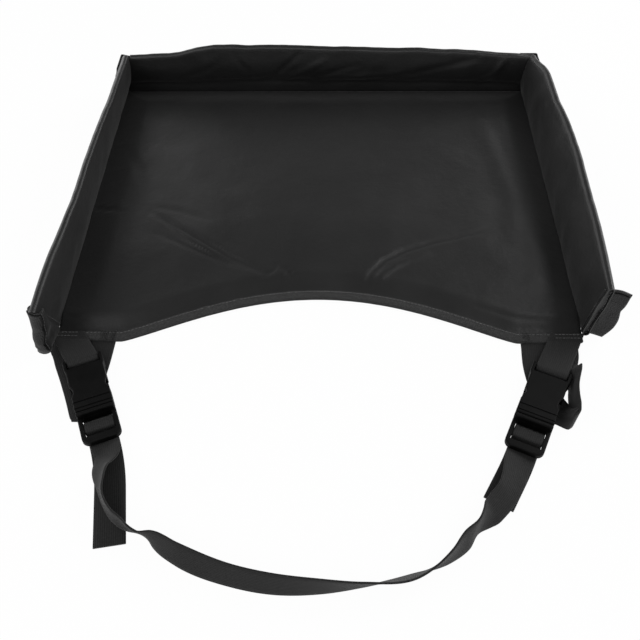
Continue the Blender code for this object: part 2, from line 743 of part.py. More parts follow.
def buckle_socket(side_name, looks):
    """Moulded socket: bar and webbing slot, open mouth, side windows, thumb ridge."""
    look = looks["acetal"]
    low = BUCKLE_LIFT
    high = BUCKLE_LIFT + BUCKLE_THICK
    socket = prism(f"buckle_socket_{side_name}", both_halves(socket_plan()), low, high, look)
    bevel(socket, BUCKLE_BEVEL)
    slot_half = (TAB_WIDTH + SLOT_PLAY) / 2
    slot_start = BAR_SIZE / 2
    slot = box(
        f"cut_slot_{side_name}",
        (-slot_half, slot_start, low - CUT),
        (slot_half, slot_start + SLOT_LENGTH, high + CUT),
        look,
    )
    cavity = box(
        f"cut_cavity_{side_name}",
        (-CAVITY_HALF, SOCKET_END - CAVITY_DEPTH, low + SHELL_WALL),
        (CAVITY_HALF, SOCKET_END + CUT, high - SHELL_WALL),
        look,
    )
    window_half = BUCKLE_WIDTH / 2 + CUT
    window = box(
        f"cut_window_{side_name}",
        (-window_half, WINDOW_BACK, low + SHELL_WALL),
        (window_half, WINDOW_FRONT, high - SHELL_WALL),
        look,
    )
    guides = [slot, cavity, window]
    middle = (low + high) / 2
    for i, (under, over) in enumerate(((low - CUT, middle - BAR_SIZE / 2), (middle + BAR_SIZE / 2, high + CUT))):
        corner = (-slot_half, -slot_start - CUT, under)
        guides.append(box(f"cut_bar_{i}_{side_name}", corner, (slot_half, slot_start + CUT, over), look))
    for guide in guides:
        combine(socket, guide, "DIFFERENCE")
    ridge_end = SOCKET_END - RIDGE_FROM_MOUTH
    for i, start in enumerate((ridge_end - RIDGE_LENGTH - GROOVE_LENGTH, ridge_end)):
        groove = box(
            f"cut_groove_{i}_{side_name}",
            (-window_half, start, high - GROOVE_DEPTH),
            (window_half, start + GROOVE_LENGTH, high + CUT),
            look,
        )
        combine(socket, groove, "DIFFERENCE")
        guides.append(groove)
    return socket, guides


def frame_plan():
    """Outline of the ladder lock, rounded at its free end."""
    half = BUCKLE_WIDTH / 2
    corner_y = PLUG_END - FRAME_CORNER
    points = [Vector((-half, COLLAR_START, 0)), Vector((half, COLLAR_START, 0))]
    points += arc(half - FRAME_CORNER, corner_y, FRAME_CORNER, 0, 90)
    points += arc(-half + FRAME_CORNER, corner_y, FRAME_CORNER, 90, 180)
    return points


def buckle_plug(side_name, looks):
    """Moulded plug: ladder lock, collar, bridge and guide tongue."""
    look = looks["acetal"]
    low = BUCKLE_LIFT
    middle = BUCKLE_LIFT + BUCKLE_THICK / 2
    half = BUCKLE_WIDTH / 2
    slot_half = (BELT_WIDTH + SLOT_PLAY) / 2
    plug = prism(f"buckle_plug_{side_name}", frame_plan(), low, low + FRAME_THICK, look)
    bevel(plug, BUCKLE_BEVEL)
    guides = []
    for i, start in enumerate((LADDER_START, RUNG_END)):
        slot = box(
            f"cut_ladder_{i}_{side_name}",
            (-slot_half, start, low - CUT),
            (slot_half, start + LADDER_SLOT, low + FRAME_THICK + CUT),
            look,
        )
        combine(plug, slot, "DIFFERENCE")
        guides.append(slot)
    rung_start = RUNG_START - LADDER_SLOT / 2
    over = box(
        f"cut_rung_{side_name}",
        (-slot_half, rung_start, low + RUNG_THICK),
        (slot_half, RUNG_END + LADDER_SLOT / 2, low + FRAME_THICK + CUT),
        look,
    )
    combine(plug, over, "DIFFERENCE")
    collar = box(
        f"join_collar_{side_name}",
        (-half, COLLAR_START, low + PLY_GAP),
        (half, LADDER_START - PLY_GAP, low + BUCKLE_THICK),
        look,
    )
    bevel(collar, BUCKLE_BEVEL)
    bridge = box(
        f"join_bridge_{side_name}",
        (-ARM_ROOT - ARM_HALF, SOCKET_END - BRIDGE_LENGTH, middle - ARM_THICK / 2),
        (ARM_ROOT + ARM_HALF, COLLAR_START + COLLAR_LENGTH / 2, middle + ARM_THICK / 2),
        look,
    )
    tongue = box(
        f"join_tongue_{side_name}",
        (-TONGUE_HALF, SOCKET_END - TONGUE_LENGTH, middle - TONGUE_THICK / 2),
        (TONGUE_HALF, SOCKET_END, middle + TONGUE_THICK / 2),
        look,
    )
    for joined in (collar, bridge, tongue):
        combine(plug, joined, "UNION")
    return plug, guides + [over, collar, bridge, tongue]


def spring_arm(name, side, look):
    """One spring arm of the plug, its pad standing in the socket's window."""
    root = SOCKET_END - BRIDGE_LENGTH - PLY_GAP
    pad = BUCKLE_WIDTH / 2 - PLY_GAP
    latch = WINDOW_FRONT - PLY_GAP
    back = WINDOW_BACK + PLY_GAP
    outer = ARM_ROOT + ARM_HALF
    inner = ARM_ROOT - ARM_HALF
    tip_y = SOCKET_END - CAVITY_DEPTH + CUT
    pad_share = 0.55
    pad_end = latch - (latch - back) * pad_share
    plan = [
        (outer, root),
        (outer + ARM_SPREAD, latch),
        (pad, latch),
        (pad, pad_end),
        (outer + ARM_SPREAD, back),
        (ARM_TIP, tip_y),
        (ARM_TIP - 2 * ARM_HALF, tip_y),
        (inner, back),
        (inner + ARM_SPREAD, latch),
        (inner, root),
    ]
    middle = BUCKLE_LIFT + BUCKLE_THICK / 2
    return prism(name, [(side * x, y) for x, y in plan], middle - ARM_THICK / 2, middle + ARM_THICK / 2, look)


def tab_route(side):
    """Webbing tab: sewn on the tray, over the bar, through the slot and back underneath."""
    place = buckle_place(side)
    across_bar = place.to_3x3() @ Vector((-1, 0, 0))
    across_tray = Vector((1, 0, 0))
    reach = math.hypot(BAR_SIZE / 2, BAR_SIZE / 2) + PLY_GAP + WEB_THICK / 2
    bar = place.to_translation()
    root_x = side * (TRAY_WIDTH / 2 - (RIGHT_TAB_INSET if side > 0 else LEFT_TAB_INSET))
    edge = FRONT_Y - PLY_GAP - TAPE_THICK - PLY_GAP
    slope = (bar.x - root_x) / (bar.y - edge)
    root = Vector((root_x - slope * (edge - FRONT_Y - TAB_OVERLAP), FRONT_Y + TAB_OVERLAP, TAB_Z))
    end = Vector((root_x - slope * TAB_PLY_END, edge - TAB_PLY_END, TAB_Z - WEB_THICK - PLY_GAP))
    route = [(root, across_tray), (Vector((root_x, edge, TAB_Z)), across_tray)]
    for i in range(BALL_SIDES // 2 + 1):
        angle = math.pi / 2 - 2 * math.pi * i / BALL_SIDES
        spot = Vector((0, reach * math.cos(angle), BAR_Z + reach * math.sin(angle)))
        route.append((place @ spot, across_bar))
    route.append((end, across_tray))
    return route


def ladder_route(side):
    """Belt in the ladder lock: up the first slot, over the rung, down the second."""
    place = buckle_place(side)
    across = place.to_3x3() @ Vector((1, 0, 0))
    floor_z = WEB_THICK / 2
    strap_z = floor_z + WEB_THICK + PLY_GAP
    over_z = BUCKLE_LIFT + RUNG_THICK + PLY_GAP + WEB_THICK / 2
    bend = WEB_THICK
    reach = PLY_GAP + WEB_THICK / 2
    corner = reach * math.cos(math.radians(45))
    rung_z = over_z - reach
    up_y = RUNG_START - reach
    down_y = RUNG_END + reach
    local = [
        (PLUG_END, floor_z),
        (up_y + bend, floor_z),
        (up_y, floor_z + bend),
        (up_y, rung_z),
        (RUNG_START - corner, rung_z + corner),
        (RUNG_START, over_z),
        (RUNG_END, over_z),
        (RUNG_END + corner, rung_z + corner),
        (down_y, rung_z),
        (down_y, strap_z + bend),
        (down_y + bend, strap_z),
        (PLUG_END, strap_z),
        (PLUG_END + BELT_LEAD, strap_z),
    ]
    return [(place @ Vector((0, y, z)), across) for y, z in local]


def tail_route(side):
    """Free tail of the belt on the floor, from its end back to the ladder lock."""
    place = buckle_place(side)
    length = RIGHT_TAIL if side > 0 else LEFT_TAIL
    turn = RIGHT_TAIL_TURN if side > 0 else LEFT_TAIL_TURN
    buckle_turn = RIGHT_TURN if side > 0 else LEFT_TURN
    start = place @ Vector((0, PLUG_END, WEB_THICK / 2))
    route = []
    spot = start
    count = ARC_STEPS
    for i in range(1, count + 1):
        share = min(2 * i / count, 1)
        angle = buckle_turn + (turn - buckle_turn) * share
        spot = spot + Vector((-side * math.sin(angle), -math.cos(angle), 0)) * length / count
        route.append((spot, Vector((math.cos(angle), -side * math.sin(angle), 0)) * side))
    flip = place.to_3x3() @ Vector((1, 0, 0))
    return [(p, w if w.dot(flip) > 0 else -w) for p, w in reversed(route)]


def belt_end(side, side_name, look):
    """The end of the belt that stays with a plug: tail and threaded part in one."""
    stations = tail_route(side) + ladder_route(side)
    return ribbon(f"belt_end_{side_name}", stations, BELT_WIDTH, WEB_THICK, look)


def tilted_stations(route, width, inward):
    """Stations of webbing that stands on its lower edge, from (x, y, tilt, level of that edge)."""
    stations = []
    ways = [Vector((b[0] - a[0], b[1] - a[1], 0)).normalized() for a, b in zip(route, route[1:])]
    for i, (x, y, tilt, level) in enumerate(route):
        run = (ways[max(i - 1, 0)] + ways[min(i, len(ways) - 1)]).normalized()
        inner = Vector((-run.y, run.x, 0)) * inward
        lean = math.radians(tilt)
        across = inner * math.cos(lean) + UP * math.sin(lean)
        lift = width / 2 * abs(math.sin(lean)) + WEB_THICK / 2 * abs(math.cos(lean))
        stations.append((Vector((x, y, lift + level)), across))
    return stations


def belt_span(look):
    """The belt between the two ladder locks, flat at its ends and on edge between them."""
    ply = WEB_THICK + PLY_GAP
    leads = []
    for side in (-1, 1):
        place = buckle_place(side)
        for extra in (BELT_LEAD + 2 * PLY_GAP, 3 * BELT_LEAD):
            lead = place @ Vector((0, PLUG_END + extra, 0))
            leads.append((lead.x, lead.y, 0, ply))
    route = leads[:2]
    near, far = Vector(leads[1][:2]), Vector(leads[3][:2])
    for way_share, sag_share, tilt, level_share in BELT_ROUTE_SHARES:
        spot = near + (far - near) * way_share
        route.append((spot.x, spot.y - sag_share * BELT_SAG, tilt, level_share * ply))
    route += leads[:1:-1]
    stations = tilted_stations(smooth_route(route, BELT_STEPS), BELT_WIDTH, 1)
    return ribbon("belt_span", stations, BELT_WIDTH, WEB_THICK, look)


def hanging_route(side, shares):
    """Points of a hanging loop as (x, y, tilt, level), from shares of its spread and reach."""
    tab_inset, gap = (RIGHT_TAB_INSET, RIGHT_HANG_GAP) if side > 0 else (LEFT_TAB_INSET, LEFT_HANG_GAP)
    root_x = side * (TRAY_WIDTH / 2 - tab_inset - TAB_WIDTH / 2 - gap - HANG_WIDTH / 2)
    root_y = FRONT_Y - PLY_GAP - TAPE_THICK - HANG_ROOT_GAP
    ply = WEB_THICK + PLY_GAP
    route = []
    for out_share, reach_share, tilt, level_share in shares:
        x = root_x + side * out_share * HANG_SPREAD
        route.append((x, root_y - reach_share * HANG_REACH, tilt, level_share * ply))
    return route


def standing_loop(look):
    """The right hanging loop, which twists and stands on its edge at the bend."""
    route = hanging_route(1, RIGHT_HANG_SHARES)
    stations = tilted_stations(smooth_route(route, HANG_STEPS), HANG_WIDTH, 1)
    return ribbon("hanging_loop_right", stations, HANG_WIDTH, WEB_THICK, look)


def folded_loop(look):
    """The left hanging loop, folded flat: one strand on the floor and one on top of it."""
    across = Vector((1, 0, 0))
    floor_z = WEB_THICK / 2
    lower = hanging_route(-1, LEFT_HANG_LOWER_SHARES)
    upper = hanging_route(-1, LEFT_HANG_UPPER_SHARES)
    stations = [(Vector((x, y, floor_z + level)), across) for x, y, _, level in smooth_route(lower, HANG_STEPS)]
    tip = stations[-1][0]
    half = (WEB_THICK + PLY_GAP) / 2
    stations.append((tip + Vector((0, -half, half)), across))
    back = [(Vector((x, y, floor_z + level)), across) for x, y, _, level in smooth_route(upper, HANG_STEPS)]
    return ribbon("hanging_loop_left", stations + back, HANG_WIDTH, WEB_THICK, look)


def make_base(looks):
    base_plies(looks)
    front_binding(looks["tape"])


def make_walls(looks):
    rear = rear_wall()
    rear_pivot = pivot("hinge_wall_rear", (0, REAR_Y, HINGE_Z))
    carry(
        rear_pivot,
        wall_sleeve("wall_rear_cover", rear, looks["nylon"]),
        wall_insert("wall_rear_insert", rear, looks["foam"]),
    )
    for side, side_name in ((-1, "left"), (1, "right")):
        wall = side_wall(side)
        hinge = pivot(f"hinge_wall_{side_name}", (side * TRAY_WIDTH / 2, 0, HINGE_Z))
        carry(
            hinge,
            wall_sleeve(f"wall_{side_name}_cover", wall, looks["nylon"]),
            wall_insert(f"wall_{side_name}_insert", wall, looks["foam"]),
            corner_patch(wall, side_name, looks["loop"]),
        )
        carry(rear_pivot, corner_tab(wall, side_name, looks["hook"]))
        flap_pivot = pivot(f"hinge_flap_{side_name}", flap_frame(wall)[0])
        carry(flap_pivot, *sleeve_flap(side_name, wall, looks))
        carry(hinge, flap_pivot)


def make_harness(looks):
    harness = pivot("hinge_harness", (0, FRONT_Y, TAB_Z))
    web = looks["webbing"]
    carry(harness, belt_span(web))
    for side, side_name in ((-1, "left"), (1, "right")):
        place = buckle_place(side)
        tab = ribbon(f"strap_tab_{side_name}", tab_route(side), TAB_WIDTH, WEB_THICK, web)
        loop = standing_loop(web) if side > 0 else folded_loop(web)
        carry(harness, tab, loop)
        socket, socket_guides = buckle_socket(side_name, looks)
        plug, plug_guides = buckle_plug(side_name, looks)
        for piece in [socket, plug] + socket_guides + plug_guides:
            piece.matrix_world = place
        carry(harness, socket, *socket_guides)
        slide = pivot(f"slide_plug_{side_name}", None, place @ Matrix.Translation((0, PLUG_END, BAR_Z)))
        carry(slide, plug, belt_end(side, side_name, web), *plug_guides)
        for arm_side, arm_name in ((-1, "a"), (1, "b")):
            arm = spring_arm(f"spring_arm_{side_name}_{arm_name}", arm_side, looks["acetal"])
            arm.matrix_world = place
            root = Vector((arm_side * ARM_ROOT, SOCKET_END - BRIDGE_LENGTH, BAR_Z))
            squeeze = pivot(f"squeeze_{side_name}_{arm_name}", place @ root)
            carry(squeeze, arm)
            carry(slide, squeeze)
        carry(harness, slide)


def main():
    clear_scene()
    looks = {
        "nylon": finish("coated nylon", 0.022, 0.5),
        "tape": finish("binding tape", 0.045, 0.8),
        "webbing": finish("polyester webbing", 0.035, 0.75),
        "acetal": finish("moulded acetal", 0.009, 0.35),
        "hook": finish("hook tape", 0.012, 0.9),
        "loop": finish("loop tape", 0.02, 0.95),
        "board": finish("polypropylene board", 0.5, 0.5),
        "foam": finish("EVA foam", 0.3, 0.8),
    }
    make_base(looks)
    make_walls(looks)
    make_harness(looks)


main()
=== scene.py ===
"""Looks of the car seat tray table: fabric, webbing, stitching and buckles."""

import math

import bmesh
import bpy
from mathutils import Matrix, Vector, noise


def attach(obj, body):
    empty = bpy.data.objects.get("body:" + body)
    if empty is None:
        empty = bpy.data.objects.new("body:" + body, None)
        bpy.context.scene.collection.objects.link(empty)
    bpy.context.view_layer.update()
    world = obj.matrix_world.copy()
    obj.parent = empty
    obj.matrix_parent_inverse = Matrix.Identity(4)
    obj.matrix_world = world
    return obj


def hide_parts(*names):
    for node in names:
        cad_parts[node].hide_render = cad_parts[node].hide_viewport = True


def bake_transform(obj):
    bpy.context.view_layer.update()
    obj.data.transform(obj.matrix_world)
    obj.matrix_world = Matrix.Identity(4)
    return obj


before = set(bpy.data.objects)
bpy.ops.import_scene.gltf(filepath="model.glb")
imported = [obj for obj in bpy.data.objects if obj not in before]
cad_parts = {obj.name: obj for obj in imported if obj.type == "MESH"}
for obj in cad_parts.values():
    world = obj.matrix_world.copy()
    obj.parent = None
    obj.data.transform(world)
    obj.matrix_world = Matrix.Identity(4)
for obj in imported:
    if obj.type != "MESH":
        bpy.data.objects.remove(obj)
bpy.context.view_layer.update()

MM = 0.001
UP = Vector((0, 0, 1))
RIGHT = Vector((1, 0, 0))
SIDE_NAMES = {-1: "left", 1: "right"}

# ---------------------------------------------------------------- the part's own sizes
TRAY_WIDTH = 405 * MM
TRAY_DEPTH = 320 * MM
BELLY_WIDTH = 300 * MM
BELLY_DEPTH = 43 * MM
BELLY_POWER = 1.25
FRONT_Y = -TRAY_DEPTH / 2
REAR_Y = TRAY_DEPTH / 2
EDGE_INSET = 3 * MM
COVER_THICK = 0.6 * MM
SKIRT_FOOT = 0.9 * MM
LIP_HEIGHT = 2.3 * MM
LIP_FLAT = 8.7 * MM
LIP_RISE = 11.5 * MM
BASE_TOP = 7.1 * MM
PLY_GAP = 0.3 * MM
TAPE_THICK = 0.6 * MM
TAPE_DEPTH = 7.5 * MM
WALL_THICK = 5 * MM
WALL_STRAIGHT = 6 * MM
WALL_HALF = WALL_THICK / 2
WALL_HEIGHT = 55 * MM
SLEEVE_THICK = 0.7 * MM
FLAP_THICK = 1.2 * MM
HOOK_THICK = 1.1 * MM
LOOP_THICK = 0.9 * MM
WEB_THICK = 1.3 * MM
PLY = WEB_THICK + PLY_GAP
BELT_WIDTH = 20 * MM
TAB_WIDTH = 23 * MM
HANG_WIDTH = 20 * MM
BUCKLE_LIFT = 3.5 * MM
BAR_Z = 8.25 * MM
BAR_SIZE = 3 * MM
TAB_Z = 4.15 * MM
RUNG_START = 54.6 * MM
RUNG_END = 60.0 * MM
RUNG_THICK = 3 * MM
PLUG_END = 70.6 * MM
# each buckle: across, ahead of the tray, turned towards the middle
BUCKLES = {
    -1: (-172 * MM, 25 * MM, math.radians(22.5)),
    1: (168.5 * MM, 32.5 * MM, math.radians(25.2)),
}
# each free tail of the belt: its length and turn
TAILS = {-1: (75 * MM, math.radians(10)), 1: (41 * MM, math.radians(30))}
TAB_ROOTS = {-1: -187 * MM, 1: 184 * MM}


# ---------------------------------------------------------------- colours and nodes
def linear(code):
    """An sRGB hex colour as the linear values that a shader takes."""
    parts = [int(code[i : i + 2], 16) / 255 for i in (1, 3, 5)]
    return tuple(p / 12.92 if p <= 0.04045 else ((p + 0.055) / 1.055) ** 2.4 for p in parts) + (1,)


def set_inputs(tree, node, values):
    """Fill a node's inputs, or link those that are given a socket."""
    for name, value in values.items():
        if isinstance(value, bpy.types.NodeSocket):
            tree.links.new(value, node.inputs[name])
        else:
            node.inputs[name].default_value = value


def add(tree, kind, values=None, stops=(), **settings):
    """Add a node with its settings, its (place, hex) colour stops and its inputs."""
    made = tree.nodes.new(kind)
    for name, value in settings.items():
        setattr(made, name, value)
    if stops:
        bar = made.color_ramp
        while len(bar.elements) < len(stops):
            bar.elements.new(0.5)
        for element, (place, code) in zip(bar.elements, stops):
            element.position = place
            element.color = linear(code)
    set_inputs(tree, made, values or {})
    return made


def new_look(name):
    """A material with its node tree and its patterns' places."""
    look = bpy.data.materials.new(name)
    look.use_nodes = True
    tree = look.node_tree
    return look, tree, add(tree, "ShaderNodeTexCoord").outputs


def finish_look(look, tone, finish, speck=None, relief=()):
    """Colour a look by (value, stops), and mix in a speck of (value, stops, share).

    The relief is one or more of (height, strength, depth in mm), each on top of the last; a
    depth below 0 turns its height over.
    """
    tree = look.node_tree
    colour = add(tree, "ShaderNodeValToRGB", {"Fac": tone[0]}, tone[1]).outputs[0]
    if speck:
        value, stops, share = speck
        over = add(tree, "ShaderNodeValToRGB", {"Fac": value}, stops).outputs[0]
        mixed = add(tree, "ShaderNodeMix", {0: share, 6: colour, 7: over}, data_type="RGBA")
        colour = mixed.outputs[2]
    below = {}
    for height, strength, depth in relief:
        shape = {"Height": height, "Strength": strength, "Distance": abs(depth) * MM, **below}
        below = {"Normal": add(tree, "ShaderNodeBump", shape, invert=depth < 0).outputs[0]}
    shader = tree.nodes["Principled BSDF"]
    set_inputs(tree, shader, {"Base Color": colour, **finish, **below})
    return look


# a wave texture's scale for bands one metre apart
BAND_SCALE = math.pi / 10


def coated_nylon():
    """Polyurethane-coated oxford nylon: near black, a soft broad sheen, threads hardly seen.

    The real threads are 0.3 mm apart, and are drawn 0.9 mm apart so that they show at all.
    """
    look, tree, place = new_look("coated oxford nylon")
    bands = {"Vector": place["UV"], "Scale": BAND_SCALE / (0.9 * MM)}
    warp, weft = [add(tree, "ShaderNodeTexWave", bands, bands_direction=w).outputs[1] for w in "XY"]
    threads = add(tree, "ShaderNodeMath", {0: warp, 1: weft}, operation="MULTIPLY").outputs[0]
    noises = []
    for scale, detail, rough in ((18, 4, 0.6), (900, 2, 0.7), (75, 6, 0.62)):
        values = {"Scale": scale, "Detail": detail, "Roughness": rough, "Vector": place["Object"]}
        noises.append(add(tree, "ShaderNodeTexNoise", values).outputs[0])
    patches, grain, crinkle = noises
    shares = {"From Min": 0.3, "From Max": 0.7, "To Min": 0.34, "To Max": 0.44}
    gloss = add(tree, "ShaderNodeMapRange", {"Value": patches, **shares}).outputs[0]
    finish = {"Roughness": gloss, "Specular IOR Level": 0.45, "Sheen Weight": 0.09}
    finish["Sheen Roughness"] = 0.5
    tone = (patches, ((0.3, "#0a0a0a"), (0.72, "#0f0f0f")))
    speck = (grain, ((0.35, "#070707"), (0.7, "#181818")), 0.22)
    relief = ((crinkle, 0.5, 0.9), (threads, 0.35, 0.12))
    return finish_look(look, tone, finish, speck, relief)


def ribbed_webbing():
    """Polyester webbing: matt charcoal, cords along it 1.4 mm apart, picks across 0.8 mm apart."""
    look, tree, place = new_look("ribbed polyester webbing")
    both = 0.0
    for spacing, way, share in ((1.4 * MM, "Y", 0.75), (0.8 * MM, "X", 0.25)):
        bands = {"Vector": place["UV"], "Scale": BAND_SCALE / spacing}
        rows = add(tree, "ShaderNodeTexWave", bands, bands_direction=way).outputs[1]
        sums = {0: rows, 1: share, 2: both}
        both = add(tree, "ShaderNodeMath", sums, operation="MULTIPLY_ADD").outputs[0]
    hairs = {"Vector": place["Object"], "Scale": 700, "Detail": 2, "Roughness": 0.7}
    fuzz = add(tree, "ShaderNodeTexNoise", hairs).outputs[0]
    finish = {"Roughness": 0.7, "Specular IOR Level": 0.25, "Sheen Weight": 0.1}
    finish["Sheen Roughness"] = 0.45
    tone = (both, ((0.1, "#131313"), (0.75, "#202020"), (1.0, "#272727")))
    speck = (fuzz, ((0.35, "#121212"), (0.68, "#303030")), 0.25)
    return finish_look(look, tone, finish, speck, [(both, 0.5, 0.15)])


def binding_tape():
    """Twill binding tape: grey and black yarns mixed, flecked and lighter than the nylon."""
    look, tree, place = new_look("flecked twill binding tape")
    slant = {"Vector": place["UV"], "Rotation": (0, 0, math.radians(35))}
    lean = add(tree, "ShaderNodeMapping", slant).outputs[0]
    bands = {"Vector": lean, "Scale": BAND_SCALE / (1.3 * MM)}
    twill = add(tree, "ShaderNodeTexWave", bands, bands_direction="X").outputs[1]
    yarns = {"Vector": place["Object"], "Scale": 1100, "Detail": 3, "Roughness": 0.75}
    flecks = add(tree, "ShaderNodeTexNoise", yarns).outputs[0]
    finish = {"Roughness": 0.82, "Specular IOR Level": 0.3, "Sheen Weight": 0.1}
    tone = (twill, ((0.0, "#222222"), (1.0, "#343434")))
    speck = (flecks, ((0.36, "#161616"), (0.5, "#2a2a2a"), (0.66, "#4a4a4a")), 0.5)
    return finish_look(look, tone, finish, speck, [(twill, 0.5, 0.2)])


def moulded_acetal():
    """Injection-moulded acetal: near black, satin, its highlights dulled by a fine grain."""
    look, tree, place = new_look("moulded acetal")
    noises = []
    for scale, detail in ((1400, 2), (90, 4)):
        values = {"Vector": place["Object"], "Scale": scale, "Detail": detail, "Roughness": 0.6}
        noises.append(add(tree, "ShaderNodeTexNoise", values).outputs[0])
    grain, wear = noises
    shares = {"From Min": 0.3, "From Max": 0.7, "To Min": 0.42, "To Max": 0.54}
    gloss = add(tree, "ShaderNodeMapRange", {"Value": wear, **shares}).outputs[0]
    finish = {"Roughness": gloss, "Specular IOR Level": 0.12}
    tone = (wear, ((0.3, "#040404"), (0.75, "#090909")))
    return finish_look(look, tone, finish, relief=[(grain, 0.25, 0.06)])


def one_texture(name, kind, values, stops, finish, *reliefs):
    """A look whose colour and relief (strength, depth in mm) come from one texture."""
    look, tree, place = new_look(name)
    made = add(tree, f"ShaderNodeTex{kind}", {"Vector": place["Object"], **values})
    pattern = made.outputs["Distance" if kind == "Voronoi" else "Fac"]
    relief = [(pattern, *numbers) for numbers in reliefs]
    return finish_look(look, (pattern, stops), finish, relief=relief)


NYLON = coated_nylon()
WEBBING = ribbed_webbing()
TAPE = binding_tape()
ACETAL = moulded_acetal()
# hook side of touch tape: dark rows of nylon hooks about 1.5 mm apart that hold little light
hooks = {"Scale": 650, "Randomness": 0.5}
tones = ((0.0, "#141414"), (0.5, "#080808"))
HOOK = one_texture("nylon hook tape", "Voronoi", hooks, tones, {"Roughness": 0.6}, (0.9, -0.5))
# loop side of touch tape: a soft brushed pile without any gloss
pile = {"Scale": 600, "Detail": 4, "Roughness": 0.8}
tones = ((0.3, "#101010"), (0.7, "#262626"))
matt = {"Roughness": 0.95, "Sheen Weight": 0.1}
LOOP = one_texture("brushed loop tape", "Noise", pile, tones, matt, (0.8, 0.5))
# bonded polyester thread: dark grey, with the faint shine of its twist
twist = {"Scale": 1500, "Detail": 1}
tones = ((0.3, "#4a4a4a"), (0.7, "#6a6a6a"))
THREAD = one_texture("bonded sewing thread", "Noise", twist, tones, {"Roughness": 0.55})
# extruded polypropylene board: milky grey with faint extrusion lines
lines = {"Scale": BAND_SCALE / (4 * MM)}
tones = ((0.0, "#b4b4b0"), (1.0, "#c2c2be"))
BOARD = one_texture("extruded polypropylene board", "Wave", lines, tones, {"Roughness": 0.45})
# closed-cell EVA foam: light grey, matt, with pores about 0.8 mm across
pores = {"Scale": 1200}
tones = ((0.0, "#707070"), (0.6, "#8c8c8c"))
FOAM = one_texture("closed-cell EVA foam", "Voronoi", pores, tones, {"Roughness": 0.9}, (0.6, 0.3))


# ---------------------------------------------------------------- shapes
def make_piece(name, points, faces, charts, look, smooth=60):
    """A mesh from points and faces, with a UV place in metres for each corner point."""
    mesh = bpy.data.meshes.new(name)
    mesh.from_pydata([tuple(p) for p in points], [], faces)
    layer = mesh.uv_layers.new(name="cloth")
    for loop in mesh.loops:
        layer.data[loop.index].uv = charts[loop.vertex_index]
    mesh.materials.append(look)
    shape = bmesh.new()
    shape.from_mesh(mesh)
    bmesh.ops.recalc_face_normals(shape, faces=shape.faces)
    shape.to_mesh(mesh)
    shape.free()
    mesh.shade_smooth()
    mesh.set_sharp_from_angle(angle=math.radians(smooth))
    thing = bpy.data.objects.new(name, mesh)
    bpy.context.scene.collection.objects.link(thing)
    return thing


def cloth(node):
    """Hide the CAD node that a sheet stands for."""
    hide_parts(node)


def loft(name, rings, charts, look, smooth=60):
    """Skin closed rings of equal length and cap both ends."""
    count = len(rings[0])
    points = [p for ring in rings for p in ring]
    places = [c for row in charts for c in row]
    faces = []
    for k in range(len(rings) - 1):
        for i in range(count):
            j = (i + 1) % count
            faces.append((k * count + i, k * count + j, (k + 1) * count + j, (k + 1) * count + i))
    faces.append(tuple(reversed(range(count))))
    last = (len(rings) - 1) * count
    faces.append(tuple(range(last, last + count)))
    return make_piece(name, points, faces, places, look, smooth)


def grid_faces(rows, columns):
    """Four-cornered faces between the points of a grid."""
    return [
        (a, a + 1, a + columns + 1, a + columns)
        for r in range(rows - 1)
        for a in range(r * columns, (r + 1) * columns - 1)
    ]


def section_walk(section):
    """How far each point of a section lies along it."""
    walk = [0.0]
    for (a, b), (c, d) in zip(section, section[1:]):
        walk.append(walk[-1] + math.hypot(c - a, d - b))
    return walk


def lift_ring(ring):
    """Keep the points of a ring on or above the floor."""
    return [Vector((p.x, p.y, max(p.z, 0))) for p in ring]


def lift_piece(piece):
    """Keep the points of a piece on or above the floor."""
    for v in piece.data.vertices:
        v.co.z = max(v.co.z, 0)


def thicken(thing, thick, offset=-1):
    """Give a sheet its thickness and keep the result in its mesh."""
    bpy.ops.object.select_all(action="DESELECT")
    bpy.context.view_layer.objects.active = thing
    thing.select_set(True)
    wall = thing.modifiers.new("thickness", "SOLIDIFY")
    wall.thickness = thick
    wall.offset = offset
    wall.use_even_offset = False
    bpy.ops.object.modifier_apply(modifier=wall.name)
    thing.select_set(False)


def along(shares, values, share):
    """A value from a table of shares, its corners rounded a little."""
    shifts = (-0.03, -0.015, 0, 0.015, 0.03)
    total = 0.0
    for shift in shifts:
        spot = min(max(share + shift, 0), 1)
        for i in range(len(shares) - 1):
            if spot <= shares[i + 1] or i == len(shares) - 2:
                step = (spot - shares[i]) / (shares[i + 1] - shares[i])
                total += values[i] + (values[i + 1] - values[i]) * step
                break
    return total / len(shifts)


def ease(value):
    """A soft step that leaves 0 and reaches 1 without a corner."""
    value = min(max(value, 0), 1)
    return value * value * (3 - 2 * value)


def smooth_route(points, steps):
    """A smooth curve through points whose first two numbers are their place on the floor."""
    knots = [Vector(point) for point in points]
    lengths = [(b.xy - a.xy).length for a, b in zip(knots, knots[1:])]
    rates = [(b - a) / length for a, b, length in zip(knots, knots[1:], lengths)]
    slopes = rates[:1]
    for i in range(1, len(lengths)):
        before, after = lengths[i - 1], lengths[i]
        slopes.append((rates[i - 1] * after + rates[i] * before) / (before + after))
    slopes.append(rates[-1])
    route = []
    for i, length in enumerate(lengths):
        for step in range(steps):
            t = step / steps
            pull = slopes[i] * (t - 2 * t**2 + t**3) + slopes[i + 1] * (t**3 - t**2)
            straight = knots[i] + (knots[i + 1] - knots[i]) * (3 * t**2 - 2 * t**3)
            route.append(straight + pull * length)
    return route + knots[-1:]


def soften(stations):
    """Cut the corners of a route of (middle, across), and keep its ends."""
    cut = [stations[0]]
    for (p, a), (q, b) in zip(stations, stations[1:]):
        cut.append((p * 0.75 + q * 0.25, (a * 0.75 + b * 0.25).normalized()))
        cut.append((p * 0.25 + q * 0.75, (a * 0.25 + b * 0.75).normalized()))
    return cut + stations[-1:]


